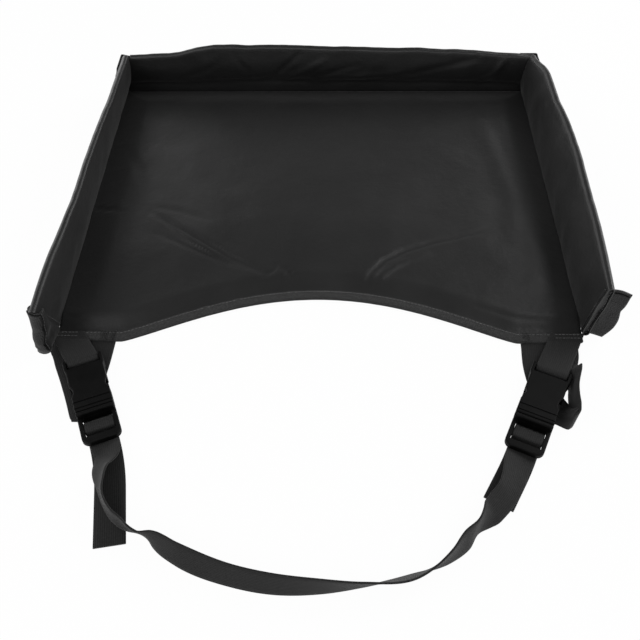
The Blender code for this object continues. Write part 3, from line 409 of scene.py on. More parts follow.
def thin_out(stations, gap):
    """Leave out stations that lie closer together than a gap."""
    kept = [stations[0]]
    for station in stations[1:-1]:
        if (station[0] - kept[-1][0]).length >= gap:
            kept.append(station)
    return kept + [stations[-1]]


def band_section(width, thick):
    """Section of webbing with rounded selvedges, as (across, out)."""
    edge = thick / 2
    flat = width / 2 - edge
    top = [(-flat + flat * i / 3, edge) for i in range(7)]
    angles = (math.pi / 4, math.pi / 2, 3 * math.pi / 4)
    turn = [(flat + edge * math.sin(a), edge * math.cos(a)) for a in angles]
    half = top + turn
    return half + [(-x, -y) for x, y in half]


def band(name, stations, width, thick, look):
    """Webbing or tape along stations of (middle, across), never below the floor."""
    section = band_section(width, thick)
    rings, charts = [], []
    run_length = 0
    for i, (middle, across) in enumerate(stations):
        ahead = stations[min(i + 1, len(stations) - 1)][0]
        behind = stations[max(i - 1, 0)][0]
        run = (ahead - behind).normalized()
        across = across.normalized()
        side = across / (across - run * across.dot(run)).length
        face = run.cross(side).normalized()
        if i:
            run_length += (middle - stations[i - 1][0]).length
        rings.append(lift_ring([middle + side * a + face * b for a, b in section]))
        charts.append([(run_length, a) for a, b in section])
    return loft(name, rings, charts, look, 50)


def strap(name, node, stations, width, gap=0.0, give=0.0):
    """Webbing that stands for a node; close stations are left out, a lock lets it spread."""
    thinned = thin_out(stations, gap) if gap else stations
    piece = band(name, thinned, width + give, WEB_THICK, WEBBING)
    cloth(node)
    return piece


def stitch_row(name, spots, body, look=THREAD):
    """Raised stitches at (middle, along, out): one is modelled and the rest are copies of it."""
    bpy.ops.object.select_all(action="DESELECT")
    bpy.ops.mesh.primitive_uv_sphere_add(segments=8, ring_count=5, radius=1 * MM)
    first = bpy.context.object
    bpy.ops.object.mode_set(mode="EDIT")
    bpy.ops.mesh.select_all(action="SELECT")
    bpy.ops.transform.resize(value=(1.25, 0.28, 0.2))
    bpy.ops.object.mode_set(mode="OBJECT")
    shape = [v.co.copy() for v in first.data.vertices]
    sides = [tuple(p.vertices) for p in first.data.polygons]
    bpy.data.objects.remove(first)
    points, faces = [], []
    for middle, way, out in spots:
        way = way.normalized()
        side = out.cross(way).normalized()
        out = way.cross(side)
        start = len(points)
        points += [middle + way * p.x + side * p.y + out * p.z for p in shape]
        faces += [tuple(start + i for i in f) for f in sides]
    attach(make_piece(name, points, faces, [(p.x, p.y) for p in points], look, 80), body)


def spots_along(points, out, spacing):
    """Stitch spots evenly spaced along a line of points, all facing out."""
    spots = []
    left = spacing / 2
    for a, b in zip(points, points[1:]):
        length = (b - a).length
        while left <= length and length:
            spots.append((a + (b - a) * (left / length), b - a, out))
            left += spacing
        left -= length
    return spots


# ---------------------------------------------------------------- the tray
def belly_rise(x):
    """How far the belly curve cuts into the front edge."""
    share = abs(x) / (BELLY_WIDTH / 2)
    return BELLY_DEPTH * max(1 - share**2, 0) ** BELLY_POWER


def belly_frame(x):
    """Point on the belly curve and the direction into the tray."""
    half = BELLY_WIDTH / 2
    share = x / half
    fall = 0.0
    if abs(share) < 1:
        bend = (1 - share**2) ** (BELLY_POWER - 1)
        fall = -2 * BELLY_POWER * share * bend * BELLY_DEPTH / half
    return Vector((x, FRONT_Y + belly_rise(x), 0)), Vector((-fall, 1, 0)).normalized()


# creases pressed into the cover: points in mm, depth and half width in mm
CREASES = (
    (((-147, -26), (-110, -53), (-75, -77), (-44, -95)), 2.21, 2.6),
    (((-143, -34), (-108, -60), (-78, -81)), -1.53, 3.2),
    (((-137, -53), (-99, -72), (-60, -91)), 1.53, 2.4),
    (((-150, -20), (-120, -26), (-96, -38)), 0.85, 3.0),
    (((-29, -87), (-25, -93), (-20, -102)), 1.53, 1.6),
    (((-36, -84), (-38, -92), (-44, -100)), 1.19, 1.6),
    (((-199, -18), (-181, -23), (-167, -26)), 1.53, 1.6),
    (((36, -108), (43, -93), (53, -81), (70, -71), (91, -63), (120, -55), (151, -45)), 1.7, 2.8),
    (((44, -108), (52, -95), (66, -84), (86, -76)), -1.19, 3.0),
    (((-196, -140), (-172, -146), (-150, -147), (-129, -143)), 1.36, 2.5),
    (((-190, -151), (-168, -149), (-150, -152)), -1.02, 2.0),
    (((120, -128), (150, -140), (186, -146)), 1.02, 3.0),
    (((-180, 60), (-160, 20), (-150, -10)), 0.59, 6.0),
    (((150, 100), (160, 40), (166, -10), (160, -60)), -1.02, 9.0),
)
# creases in the rear wall: points across and up in mm, depth and half width in mm
WALL_CREASES = (
    (((-52, 23), (-40, 34), (-22, 50)), 1.2, 2.2),
    (((-40, 21), (-18, 32), (4, 44)), -1.0, 2.6),
    (((-28, 20), (0, 27), (34, 38)), 1.1, 2.4),
    (((-12, 19), (30, 24), (76, 30)), -0.9, 2.6),
    (((-70, 22), (-74, 32), (-86, 46)), 0.8, 2.6),
    (((70, 24), (110, 34), (150, 44)), 0.9, 3.0),
    (((-150, 20), (-120, 30), (-96, 44)), 0.8, 3.5),
    (((152, 16), (168, 28), (176, 42)), -1.0, 3.0),
)


def crease_height(x, y, lines):
    """How far creases push a cover at a place, in metres."""
    total = 0.0
    spot = Vector((x / MM, y / MM))
    for line, depth, wide in lines:
        best = math.inf
        share = 0.0
        count = len(line) - 1
        for i in range(count):
            a, b = Vector(line[i]), Vector(line[i + 1])
            t = min(max((spot - a).dot(b - a) / (b - a).length_squared, 0), 1)
            far = (spot - (a + (b - a) * t)).length
            if far < best:
                best, share = far, (i + t) / count
        if best < 4 * wide:
            fade = math.sin(math.pi * min(max(share, 0.04), 0.96)) ** 0.5
            r = best / wide
            total -= depth * MM * fade * (1 - r * r * 0.6) * math.exp(-r * r * 0.7)
    return total


def cover_height(x, y, depth, side_room):
    """Height of the tray's top cover, this deep in from its front and from its other edges."""
    lip_end, slope, padded_from, padded = 4.5 * MM, 21 * MM, 30 * MM, 75 * MM
    top = LIP_HEIGHT + (BASE_TOP - LIP_HEIGHT) * ease((depth - lip_end) / slope)
    ahead = depth - LIP_FLAT - LIP_RISE * 0.6
    swell = ease(side_room / padded_from) * ease(ahead / padded)
    broad = noise.noise(Vector((x * 16, y * 16, 3.1)))
    broad += 0.5 * noise.noise(Vector((x * 38, y * 38, 7.7)))
    creased = ease(min(ahead, side_room) / (6 * MM)) * crease_height(x, y, CREASES)
    return top + swell * (4.2 * MM + 1.0 * MM * broad) + creased


def crowd(i, count):
    """Share of the way to row i, with rows closer together near both ends."""
    share = min(max(i, 0), count) / count
    return 0.5 * share + 0.5 * (0.5 - 0.5 * math.cos(math.pi * share))


def round_corner(x, y, half, rear):
    """Round the corners of the tray's sheets, the rear ones more than the front ones."""
    for way, far, radius in ((1, rear, 6 * MM), (-1, -FRONT_Y, 2 * MM)):
        dx = abs(x) - (half - radius)
        dy = way * y - (far - radius)
        if dx > 0 and dy > 0:
            scale = max(dx, dy) / math.hypot(dx, dy)
            x = math.copysign(half - radius + dx * scale, x)
            y = way * (far - radius + dy * scale)
    return x, y


def tray_cover():
    """One sheet over the tray, drawn down over its edges, with faint creases."""
    columns, rows = 168, 136
    # skirt rows on each side go down to the foot of the sheet
    skirt = 3
    wide, tall = columns + 2 * skirt + 1, rows + 2 * skirt + 1
    half = TRAY_WIDTH / 2 - EDGE_INSET
    rear = REAR_Y - EDGE_INSET
    bend = 1.6 * MM
    points, charts = [], []
    for r in range(-skirt, rows + skirt + 1):
        v = crowd(r, rows)
        for c in range(-skirt, columns + skirt + 1):
            x = (2 * crowd(c, columns) - 1) * half
            front = FRONT_Y + belly_rise(x)
            x, y = round_corner(x, front + (rear - front) * v, half, rear)
            base = belly_frame(x)[0]
            slant = sum(belly_frame(x + 3 * i * MM)[1].y for i in range(-5, 6)) / 11
            depth = max((y - base.y) * slant, 0)
            side_room = max(min(half - abs(x), rear - y), 0)
            z = cover_height(x, y, depth, side_room)
            near = min(depth, side_room)
            drop = min(bend, (z - SKIRT_FOOT) * 0.5)
            z -= drop * (1 - math.sqrt(max(1 - (1 - min(near / bend, 1)) ** 2, 0)))
            below = max(-r, r - rows, -c, c - columns, 0)
            z += (SKIRT_FOOT - z) * below / skirt
            points.append(Vector((x, y, z)))
            charts.append((x, y))
    faces = []
    for face in grid_faces(tall, wide):
        r, c = divmod(face[0], wide)
        if skirt <= r < tall - 1 - skirt or skirt <= c < wide - 1 - skirt:
            faces.append(face)
    cover = make_piece("tray_top_cover", points, faces, charts, NYLON, 70)
    shape = bmesh.new()
    shape.from_mesh(cover.data)
    loose = [v for v in shape.verts if not v.link_faces]
    bmesh.ops.delete(shape, geom=loose, context="VERTS")
    bmesh.ops.remove_doubles(shape, verts=shape.verts, dist=0.01 * MM)
    shape.to_mesh(cover.data)
    shape.free()
    thicken(cover, COVER_THICK)
    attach(cover, "tray")
    cloth("base_cover_top")


def under_cover():
    """Bottom cover: a flat sheet of the same nylon."""
    columns, rows = 60, 40
    half = TRAY_WIDTH / 2 - EDGE_INSET
    rear = REAR_Y - EDGE_INSET
    points = []
    for r in range(rows + 1):
        for c in range(columns + 1):
            x = (2 * c / columns - 1) * half
            base, inward = belly_frame(x)
            front = base + inward * (TAPE_DEPTH + PLY_GAP)
            x += (front.x - x) * (1 - r / rows)
            y = front.y + (rear - front.y) * r / rows
            points.append(Vector((min(max(x, -half), half), y, COVER_THICK)))
    faces = grid_faces(rows + 1, columns + 1)
    charts = [(p.x, p.y) for p in points]
    sheet = make_piece("tray_bottom_cover", points, faces, charts, NYLON)
    thicken(sheet, COVER_THICK)
    lift_piece(sheet)
    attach(sheet, "tray")
    cloth("base_cover_bottom")


def front_tape():
    """Binding tape folded round the belly edge, slightly puckered by its stitches."""
    end = TRAY_WIDTH / 2 - EDGE_INSET - 4 * MM - LIP_FLAT
    outer = -PLY_GAP - TAPE_THICK
    low, high = TAPE_THICK, LIP_HEIGHT + PLY_GAP
    top = high + TAPE_THICK
    round_off = 0.2 * MM
    middle = top / 2
    upper = [(TAPE_DEPTH * share, top) for share in (1, 0.75, 0.5, 0.25)]
    for degrees in (-90, -60, -30, 0, 30, 60, 90):
        a = math.radians(degrees)
        upper.append((outer + middle * (1 - math.cos(a)), middle - middle * math.sin(a)))
    inside = [(TAPE_DEPTH, low), (0.0, low), (-PLY_GAP, low + round_off)]
    inside += [(-PLY_GAP, high - round_off), (0.0, high), (TAPE_DEPTH, high)]
    section = upper + [(TAPE_DEPTH * 0.5, 0.0), (TAPE_DEPTH, 0.0)] + inside
    walk = section_walk(section)
    steps = 300
    places = [belly_frame(-end + 2 * end * i / steps) for i in range(steps + 1)]
    rings, charts = [], []
    length = 0
    for i, (base, inward) in enumerate(places):
        if i:
            length += (base - places[i - 1][0]).length
        x = base.x
        fine = noise.noise(Vector((x * 330, 0, 15))) * (0.4 + 0.6 * ease((-x - 0.04) / 0.05))
        pucker = 0.55 * MM * noise.noise(Vector((x * 120, 0, 5))) + 0.4 * MM * fine
        ring = []
        for k, (inset, z) in enumerate(section):
            bulge = pucker * ease(z / top) if k < len(upper) else 0
            ring.append(base + inward * inset + UP * (z + bulge))
        rings.append(lift_ring(ring))
        charts.append([(length, w) for w in walk])
    tape = loft("front_binding_tape", rings, charts, TAPE)
    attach(tape, "tray")
    cloth("front_binding")
    seam = [
        base + inward * (TAPE_DEPTH - 1.4 * MM) + UP * (top + 0.15 * MM) for base, inward in places
    ]
    stitch_row("binding_stitches", spots_along(seam, UP, 2.9 * MM), "tray")
    spots = []
    # each bar tack: its middle, its width and how many threads lie in it
    for middle, wide, count in ((-160 * MM, 11 * MM, 11), (156.5 * MM, 5 * MM, 6)):
        for i in range(count):
            base, inward = belly_frame(middle + wide * (i / (count - 1) - 0.5))
            start = base + inward * 8.5 * MM + UP * (top + 0.5 * MM)
            stop = base - inward * 0.9 * MM + UP * (top + 0.2 * MM)
            spots += spots_along([start, stop], UP, 1.9 * MM)
    stitch_row("bar_tacks", spots, "tray", NYLON)


# ---------------------------------------------------------------- the walls
def side_wall(side):
    """Numbers of a side wall: leans and heights belong to stations, shares of its length."""
    start = REAR_Y - WALL_HALF - 0.5 * MM
    spin = Matrix(((side, 0, 0, 0), (0, -1, 0, 0), (0, 0, 1, 0), (0, 0, 0, 1)))
    wall = {
        "place": Matrix.Translation((side * TRAY_WIDTH / 2, start, WALL_HALF)) @ spin,
        "open": True,
    }
    if side < 0:
        foot_back = 12 * MM
        wall.update(slant=30 * MM, lean=math.radians(-14), seed=4.0)
        wall["stations"] = (0, 0.26, 0.4, 0.52, 0.72, 0.82, 0.88, 1)
        wall["leans"] = (1, 1, 0.87, 0.75, 0.7, 0.45, 0.25, 0.2)
        wall["heights"] = (0.83, 0.95, 0.98, 0.98, 0.96, 0.94, 0.93, 0.9)
    else:
        foot_back = 8 * MM
        wall.update(slant=3 * MM, lean=math.radians(12), seed=11.0)
        wall["stations"] = (0, 0.02, 0.12, 0.3, 0.4, 0.5, 0.63, 0.73, 0.87, 1)
        wall["leans"] = (0, 0, 0.5, 0.6, 0.9, 1, 0.9, 0.85, 0.7, 0.45)
        wall["heights"] = (0.8, 0.84, 0.97, 1, 1, 1, 1, 1, 1, 0.98)
    wall["length"] = start - FRONT_Y - foot_back
    return wall


def rear_wall():
    """Numbers of the rear wall, as for a side wall; it stands upright and is closed."""
    half = TRAY_WIDTH / 2 + WALL_HALF
    turn = Matrix.Rotation(math.pi / 2, 4, "Z")
    return {
        "length": 2 * half,
        "slant": -20 * MM,
        "place": Matrix.Translation((half, REAR_Y, WALL_HALF)) @ turn,
        "lean": 0,
        "stations": (0, 0.06, 0.11, 0.22, 0.5, 0.68, 0.73, 0.79, 0.85, 0.93, 1),
        "leans": (0,) * 11,
        "heights": (0.78, 0.8, 0.85, 0.9, 0.95, 0.98, 1, 0.94, 0.84, 0.8, 0.78),
        "open": False,
        "seed": 23.0,
    }


def wall_section(thick, bottom, top):
    """Tall section with round ends as (across, up)."""
    radius = thick / 2
    low, high = bottom + radius, top - radius
    turns = [math.pi * i / 8 for i in range(9)]
    arc = [(radius * math.cos(a), radius * math.sin(a)) for a in turns]
    sides = [low + (high - low) * i / 18 for i in range(1, 18)]
    points = [(-x, low - y) for x, y in arc]
    points += [(radius, up) for up in sides]
    points += [(x, high + y) for x, y in arc]
    return points + [(-radius, up) for up in reversed(sides)]


def wall_padding(wall, run, side, tall, up):
    """How far padding and wrinkles push a wall's face out; side is below 0 on its inner face."""
    share = run / wall["length"]
    seed = wall["seed"]
    flow = noise.noise(Vector((run * 22, tall * 1.6, seed)))
    flow += 0.5 * noise.noise(Vector((run * 60, tall * 3.5, seed + 5)))
    ridge = 1 - abs(noise.noise(Vector((run * 30 + tall * 1.3, tall * 1.1, seed + 9)))) * 2
    ends = ease(share / 0.05)
    crown = math.sin(math.pi * tall)
    full = 1.2 + 3.2 * ease((1 - share) / 0.09)
    if not wall["open"]:
        ends *= ease((1 - share) / 0.05)
        crown = crown**0.7
        full = 2.6
    push = crown * ((full if side < 0 else 1.2) * MM + 0.9 * MM * flow)
    push += ends * crown * 0.9 * MM * (ridge - 0.45) * (1.2 - tall)
    if wall["open"]:
        return push
    # the rear wall's padding bulges above a tuck that runs along its inner face
    push += ends * 1.0 * MM * math.exp(-(((tall - 0.66) / 0.2) ** 2))
    if side < 0:
        tuck = 0.34 + 0.05 * noise.noise(Vector((run * 14, 0, 40)))
        push -= ends * 2.4 * MM * math.exp(-(((tall - tuck) / 0.06) ** 2))
        push *= 0.35 + 0.65 * ease((tall - tuck + 0.03) / 0.08)
        across = wall["length"] / 2 - run
        push += ends * crease_height(across, up + WALL_HALF, WALL_CREASES)
    return push


def wall_ring(wall, run, inset, swell):
    """One section of a wall, with its padding and wrinkles if swell isn't zero."""
    share = run / wall["length"]
    height = WALL_HEIGHT * along(wall["stations"], wall["heights"], share)
    lean = wall["lean"] * along(wall["stations"], wall["leans"], share)
    slant = wall["slant"] * max(share - 0.8, 0) / 0.2
    seed = wall["seed"]
    ripple = noise.noise(Vector((run * 30, 2.2, seed)))
    ripple += 0.4 * noise.noise(Vector((run * 85, 4.2, seed)))
    ring = []
    for across, up in wall_section(WALL_THICK - 2 * inset, inset - WALL_HALF, height - inset):
        tall = min(max((up + WALL_HALF) / (height + WALL_HALF), 0), 1)
        side = across / (WALL_HALF - inset)
        push = swell * wall_padding(wall, run, side, tall, up) if swell else 0.0
        top_wave = swell * max(tall - 0.6, 0) / 0.4 * 1.1 * MM * ripple
        aside = across + side * push + max(up - WALL_STRAIGHT, 0) * math.tan(lean)
        spot = Vector((aside, run + slant * up / WALL_HEIGHT, up + top_wave))
        ring.append(wall["place"] @ spot)
    return lift_ring(ring)


def wall_cover(name, wall, body, replaced):
    """A padded sleeve of nylon, closed at its far end, with soft wrinkles along its seam."""
    steps = 190
    mouth_depth = 26 * MM
    length = wall["length"]
    first = 1.5 * MM
    # each ring: how far along, how far inset, how much of the padding it has
    stages = [(0.0, 1.5 * MM, 0), (0.5 * MM, 0.5 * MM, 0.2)]
    stages += [(first + (length - first) * i / steps, 0, 1) for i in range(steps + 1)]
    if wall["open"]:
        inside = length - mouth_depth
        stages += [(inside + mouth_depth * i / 24, SLEEVE_THICK, 1) for i in range(24, -1, -1)]
        stages.append((length - 27 * MM, WALL_HALF * 0.9, 0))
    else:
        stages.append((length, 1.2 * MM, 0))
    walk = section_walk(wall_section(WALL_THICK, -WALL_HALF, WALL_HEIGHT))
    rings = [wall_ring(wall, *stage) for stage in stages]
    charts = [[(run, w) for w in walk] for run, _, _ in stages]
    cover = loft(name, rings, charts, NYLON, 75)
    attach(cover, body)
    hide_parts(replaced)


def mouth_point(wall, side, tall):
    """Point on the edge of a sleeve's mouth: side -1 is its inner face, 1 its outer one."""
    up = WALL_HEIGHT * wall["heights"][-1] * tall
    lean = wall["lean"] * wall["leans"][-1]
    aside = max(up - WALL_STRAIGHT, 0) * math.tan(lean)
    run = wall["length"] + wall["slant"] * (up - WALL_HALF) / WALL_HEIGHT
    return wall["place"] @ Vector((side * WALL_HALF + aside, run, up - WALL_HALF))


def cloth_grid(name, grid, thick, look, node):
    """A sheet of cloth through a grid of points, with its thickness; it stands for a node."""
    wide = len(grid[0])
    points = [p for row in grid for p in row]
    charts = []
    walk = 0.0
    for k, row in enumerate(grid):
        if k:
            walk += (row[wide // 2] - grid[k - 1][wide // 2]).length
        reach = 0.0
        for i, p in enumerate(row):
            if i:
                reach += (p - row[i - 1]).length
            charts.append((walk, reach))
    piece = make_piece(name, points, grid_faces(len(grid), wide), charts, look)
    thicken(piece, thick, 0)
    lift_piece(piece)
    cloth(node)
    return piece


def crumple(point, size, seed):
    """A small push that makes cloth look handled."""
    spot = point * 90
    return Vector([size * noise.noise(spot + Vector((seed + 7 * i, 0, 0))) for i in range(3)])


def right_flap_point(wall, tall, reach, lift):
    """Point of the open right flap: tall goes up the mouth, reach from its root to its hem."""
    root = mouth_point(wall, -1, 0.02 + 0.97 * tall) + Vector((-1.4, 2.4, 0)) * MM
    hem = Vector((214.5, -153.5, 0.8)).lerp(Vector((223, -155.5, 50.5)), tall) * MM
    belly = math.sin(math.pi * min(tall * 1.6, 1)) * (1 - 0.3 * tall)
    hem += Vector((4.2, 0.3, 0)) * MM * belly
    face = UP.cross(hem - root).normalized()
    bow = 1.6 * MM * math.sin(math.pi * reach)
    spot = root.lerp(hem, reach)
    return spot + face * (bow + lift) + crumple(spot, 0.7 * MM, 3)


def left_flap_point(wall, tall, walk, lift):
    """Point of the rolled left flap: walk goes from its root (0) to the roll (1) and round it."""
    root = mouth_point(wall, -1, 0.95 * tall) + Vector((1.2, -0.6, 0)) * MM
    foot, head = Vector((-204.8, -170.5, 5)), Vector((-198.5, -168.5, 49))
    middle = foot.lerp(head, tall**0.8) * MM
    radius = 4.8 * MM + lift
    first = 10
    if walk >= 1:
        angle = math.radians(first - 290 * (walk - 1))
        way = Vector((math.cos(angle), math.sin(angle), 0.15 * math.sin(2 * angle)))
        spot = middle + way * radius
    else:
        angle = math.radians(first)
        start = middle + Vector((math.cos(angle), math.sin(angle), 0)) * radius
        spot = root.lerp(start, walk)
    return spot + crumple(spot, 1.5 * MM, 8) * ease(walk * 2)


def flaps(side, wall):
    """Closing flap of a sleeve, hemmed, with its hook tape."""
    name = SIDE_NAMES[side]
    rows = 30
    if side > 0:
        spot_of, far, columns, aim = right_flap_point, 1, 14, 0.3
        tape_start, tape_end, tape_lift = 0.32, 0.94, -1.1 * MM
        seams, seam_lift = (0.29, 0.96), -0.75 * MM
    else:
        spot_of, far, columns, aim = left_flap_point, 2, 34, 0.9
        tape_start, tape_end, tape_lift = 1.22, 1.62, 1.1 * MM
        seams, seam_lift = (1.17, 1.67), 0.75 * MM

    def points_of(foot, tall, start, stop, steps, lift):
        """A grid of the flap's points: foot and tall go up it, start and stop along it."""
        reaches = [start + (stop - start) * i / steps for i in range(steps + 1)]
        return [
            [spot_of(wall, foot + tall * k / rows, reach, lift) for reach in reaches]
            for k in range(rows + 1)
        ]

    grid = points_of(0, 1, 0, far, columns, 0)
    title, node, on = f"closing_flap_{name}", f"sleeve_flap_{name}", [f"wall_cover_{name}"]
    flap = cloth_grid(title, grid, FLAP_THICK, NYLON, node)
    along_mouth = (spot_of(wall, 0.9, 0.05, 0) - spot_of(wall, 0.1, 0.05, 0)).normalized()
    start = spot_of(wall, 0.5, 0.05, 0)
    out = spot_of(wall, 0.5, aim, 0) - start
    out -= along_mouth * out.dot(along_mouth)
    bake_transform(flap)
    grid = points_of(0.05, 0.9, tape_start, tape_end, 12, tape_lift)
    title, node, on = f"flap_hook_tape_{name}", f"hook_tape_{name}", [f"closing_flap_{name}"]
    tape = cloth_grid(title, grid, 1.0 * MM, HOOK, node)
    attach(tape, f"flap_{name}")
    spots = []
    for reach in seams:
        line = [spot_of(wall, 0.04 + 0.92 * k / 24, reach, seam_lift) for k in range(25)]
        beside = spot_of(wall, 0.5, reach + 0.02, 0) - spot_of(wall, 0.5, reach - 0.02, 0)
        out = (line[14] - line[10]).cross(beside).normalized()
        spots += spots_along(line, out, 3.0 * MM)
    stitch_row(f"flap_stitches_{name}", spots, f"flap_{name}")
    spots = []
    for face, proud in ((-1, 1.0 * MM), (1, 0.5 * MM)):
        out = wall["place"].to_3x3() @ Vector((face, 0, 0))
        shift = Vector((0, 3.2 * MM, 0)) + out * proud
        line = [mouth_point(wall, face, 0.1 + 0.82 * k / 20) + shift for k in range(21)]
        spots += spots_along(line, out, 3.2 * MM)
    stitch_row(f"mouth_stitches_{name}", spots, f"wall_{name}")


def face_station(wall, run, gap):
    """Middle and direction up of a corner piece, this far off the outer face of a side wall."""
    lean = wall["lean"] * along(wall["stations"], wall["leans"], run / wall["length"])
    up = 35 * MM - WALL_HALF
    aside = WALL_HALF + gap / math.cos(lean) + (up - WALL_STRAIGHT) * math.tan(lean)
    spin = wall["place"].to_3x3()
    upright = spin @ Vector((math.sin(lean), 0, math.cos(lean)))
    return wall["place"] @ Vector((aside, run, up)), upright


def corner_pieces(side, wall):
    """Hook tab round a rear corner, and the loop patch that it sticks to."""
    name = SIDE_NAMES[side]
    bend = 1.5 * MM
    patch_size = (22 * MM, 30 * MM)
    gap = 0.6 * MM + LOOP_THICK / 2
    stations = [face_station(wall, bend + patch_size[1] * i / 12, gap) for i in range(13)]
    patch = band(f"corner_loop_patch_{name}", stations, patch_size[0], LOOP_THICK, LOOP)
    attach(patch, f"wall_{name}")
    cloth(f"loop_patch_{name}")
    tab_width = 20 * MM
    half = HOOK_THICK / 2
    gap = 0.9 * MM + LOOP_THICK + half
    behind = 0.5 * MM + WALL_THICK + PLY_GAP + half
    corner, up = face_station(wall, 0, gap)
    inward = wall["place"].to_3x3() @ Vector((-1, 0, 0))
    inward = (inward - up * inward.dot(up)).normalized()
    back = corner + Vector((0, behind, 0))
    route = [(back + inward * (14 * MM + gap), up)]
    for i in range(9):
        a = math.pi / 2 * i / 8
        round_it = inward * (bend - bend * math.sin(a)) - Vector((0, bend - bend * math.cos(a), 0))
        route.append((back + round_it, up))
    for i in range(1, 13):
        run = bend + (24 * MM - bend) * i / 12 - behind
        if run > 0:
            route.append(face_station(wall, run, gap))
    tab = band(f"corner_tab_{name}", route, tab_width, HOOK_THICK, HOOK)
    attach(tab, "wall_rear")
    cloth(f"corner_hook_tab_{name}")


# ---------------------------------------------------------------- straps
def buckle_place(side):
    """Where a buckle lies: its origin at the bar, its y along the belt."""
    x, ahead, turn = BUCKLES[side]
    spin = Matrix.Rotation(math.pi - side * turn, 4, "Z")
    return Matrix.Translation((x, FRONT_Y - ahead, 0)) @ spin


def strap_tab(side):
    """Webbing tab: sewn on the tray, over the bar and back underneath."""
    name = SIDE_NAMES[side]
    place = buckle_place(side)
    across_bar = place.to_3x3() @ Vector((-1, 0, 0))
    reach = math.hypot(BAR_SIZE / 2, BAR_SIZE / 2) + PLY_GAP + WEB_THICK / 2
    bar = place.to_translation()
    root_x = TAB_ROOTS[side]
    edge = FRONT_Y - 2 * PLY_GAP - TAPE_THICK
    slope = (bar.x - root_x) / (bar.y - edge)
    root_y = FRONT_Y + 6.5 * MM
    root = Vector((root_x - slope * (edge - root_y), root_y, TAB_Z))
    bend = Vector((root_x, edge, TAB_Z))
    stations = [(root, RIGHT), (root.lerp(bend, 0.5), RIGHT), (bend, RIGHT)]
    for i in range(13):
        angle = math.pi / 2 - math.pi * i / 12
        spot = Vector((0, reach * math.cos(angle), BAR_Z + reach * math.sin(angle)))
        stations.append((place @ spot, across_bar))
    back = 4 * MM
    stations.append((Vector((root_x - slope * back, edge - back, TAB_Z - PLY)), RIGHT))
    fine = [stations[0]]
    for (p, a), (q, b) in zip(stations, stations[1:]):
        count = max(int((q - p).length / (1.5 * MM)), 1)
        for i in range(1, count + 1):
            fine.append((p.lerp(q, i / count), a.lerp(b, i / count).normalized()))
    fine = soften(fine)
    tab = strap(f"webbing_tab_{name}", f"strap_tab_{name}", fine, TAB_WIDTH)
    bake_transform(tab)
    spots = []
    top = TAB_Z + WEB_THICK / 2 + 0.1 * MM
    row = TAB_WIDTH - 3 * MM
    for ahead_of in (1.2 * MM, 4.6 * MM):
        y = root.y - ahead_of
        line = [Vector((root.x + share * row, y, top)) for share in (-0.5, 0.5)]
        spots += spots_along(line, UP, 2.7 * MM)
    stitch_row(f"tab_stitches_{name}", spots, "tray")


def tilted_stations(route, width):
    """Stations of webbing that stands on its lower edge, from (x, y, tilt in degrees, lift)."""
    stations = []
    steps = zip(route, route[1:])
    ways = [Vector((b[0] - a[0], b[1] - a[1], 0)).normalized() for a, b in steps]
    for i, (x, y, tilt, level) in enumerate(route):
        run = (ways[max(i - 1, 0)] + ways[min(i, len(ways) - 1)]).normalized()
        lean = math.radians(tilt)
        across = Vector((-run.y, run.x, 0)) * math.cos(lean) + UP * math.sin(lean)
        lift = width / 2 * abs(math.sin(lean)) + WEB_THICK / 2 * abs(math.cos(lean))
        stations.append((Vector((x, y, lift + level)), across))
    return stations


# belt between the ladder locks: x, y in mm, tilt in degrees, plies below it
BELT_ROUTE = (
    (-141.8, -272.5, 44, 1), (-139.3, -284.5, 66, 1), (-135.6, -296, 80, 1), (-127, -308, 86, 1),
    (-118.5, -313.6, 92, 0.8), (-112.5, -316.6, 104, 0.5), (-107, -319.2, 106, 0.2),
    (-100, -322.4, 82, 0), (-84, -331.5, 68, 0), (-50, -344.5, 70, 0), (-24, -349.6, 74, 0),
    (4, -350.9, 86, 0), (30, -349.5, 104, 0), (60, -344, 118, 0), (84.3, -331, 88, 0),
    (94.5, -321, 74, 0.2), (103, -311.5, 84, 0.6), (108.5, -306, 66, 1), (112.5, -301.5, 50, 1),
    (116.5, -297, 46, 1), (124, -288, 44, 1), (130, -276.5, 34, 1),
)


def ladder_route(side):
    """Webbing in the ladder lock: up the first slot, over the rung, down the second."""
    place = buckle_place(side)
    across = place.to_3x3() @ Vector((1, 0, 0))
    floor_z = WEB_THICK / 2
    strap_z = floor_z + PLY
    reach = PLY_GAP + WEB_THICK / 2
    rung_z = BUCKLE_LIFT + RUNG_THICK
    bend = WEB_THICK
    lean = 7 * MM
    slot = RUNG_START - reach
    local = [(PLUG_END, floor_z), (slot - lean + bend, floor_z)]
    local += [(slot - lean, floor_z + 0.25 * bend), (slot - lean * 0.55, floor_z + 1.4 * MM)]
    local += [(slot - lean * 0.12, rung_z - 1.6 * MM)]
    for edge, start in ((RUNG_START, math.pi), (RUNG_END, math.pi / 2)):
        for i in range(7):
            a = start - math.pi / 2 * i / 6
            local.append((edge + reach * math.cos(a), rung_z + reach * math.sin(a)))
    down_y = RUNG_END + reach + bend
    for i in range(5):
        a = math.pi + math.pi / 2 * i / 4
        local.append((down_y + bend * math.cos(a), strap_z + bend + bend * math.sin(a)))
    local += [(PLUG_END - 2.6 * MM, strap_z)]
    return [(place @ Vector((0, y, z)), across) for y, z in local]


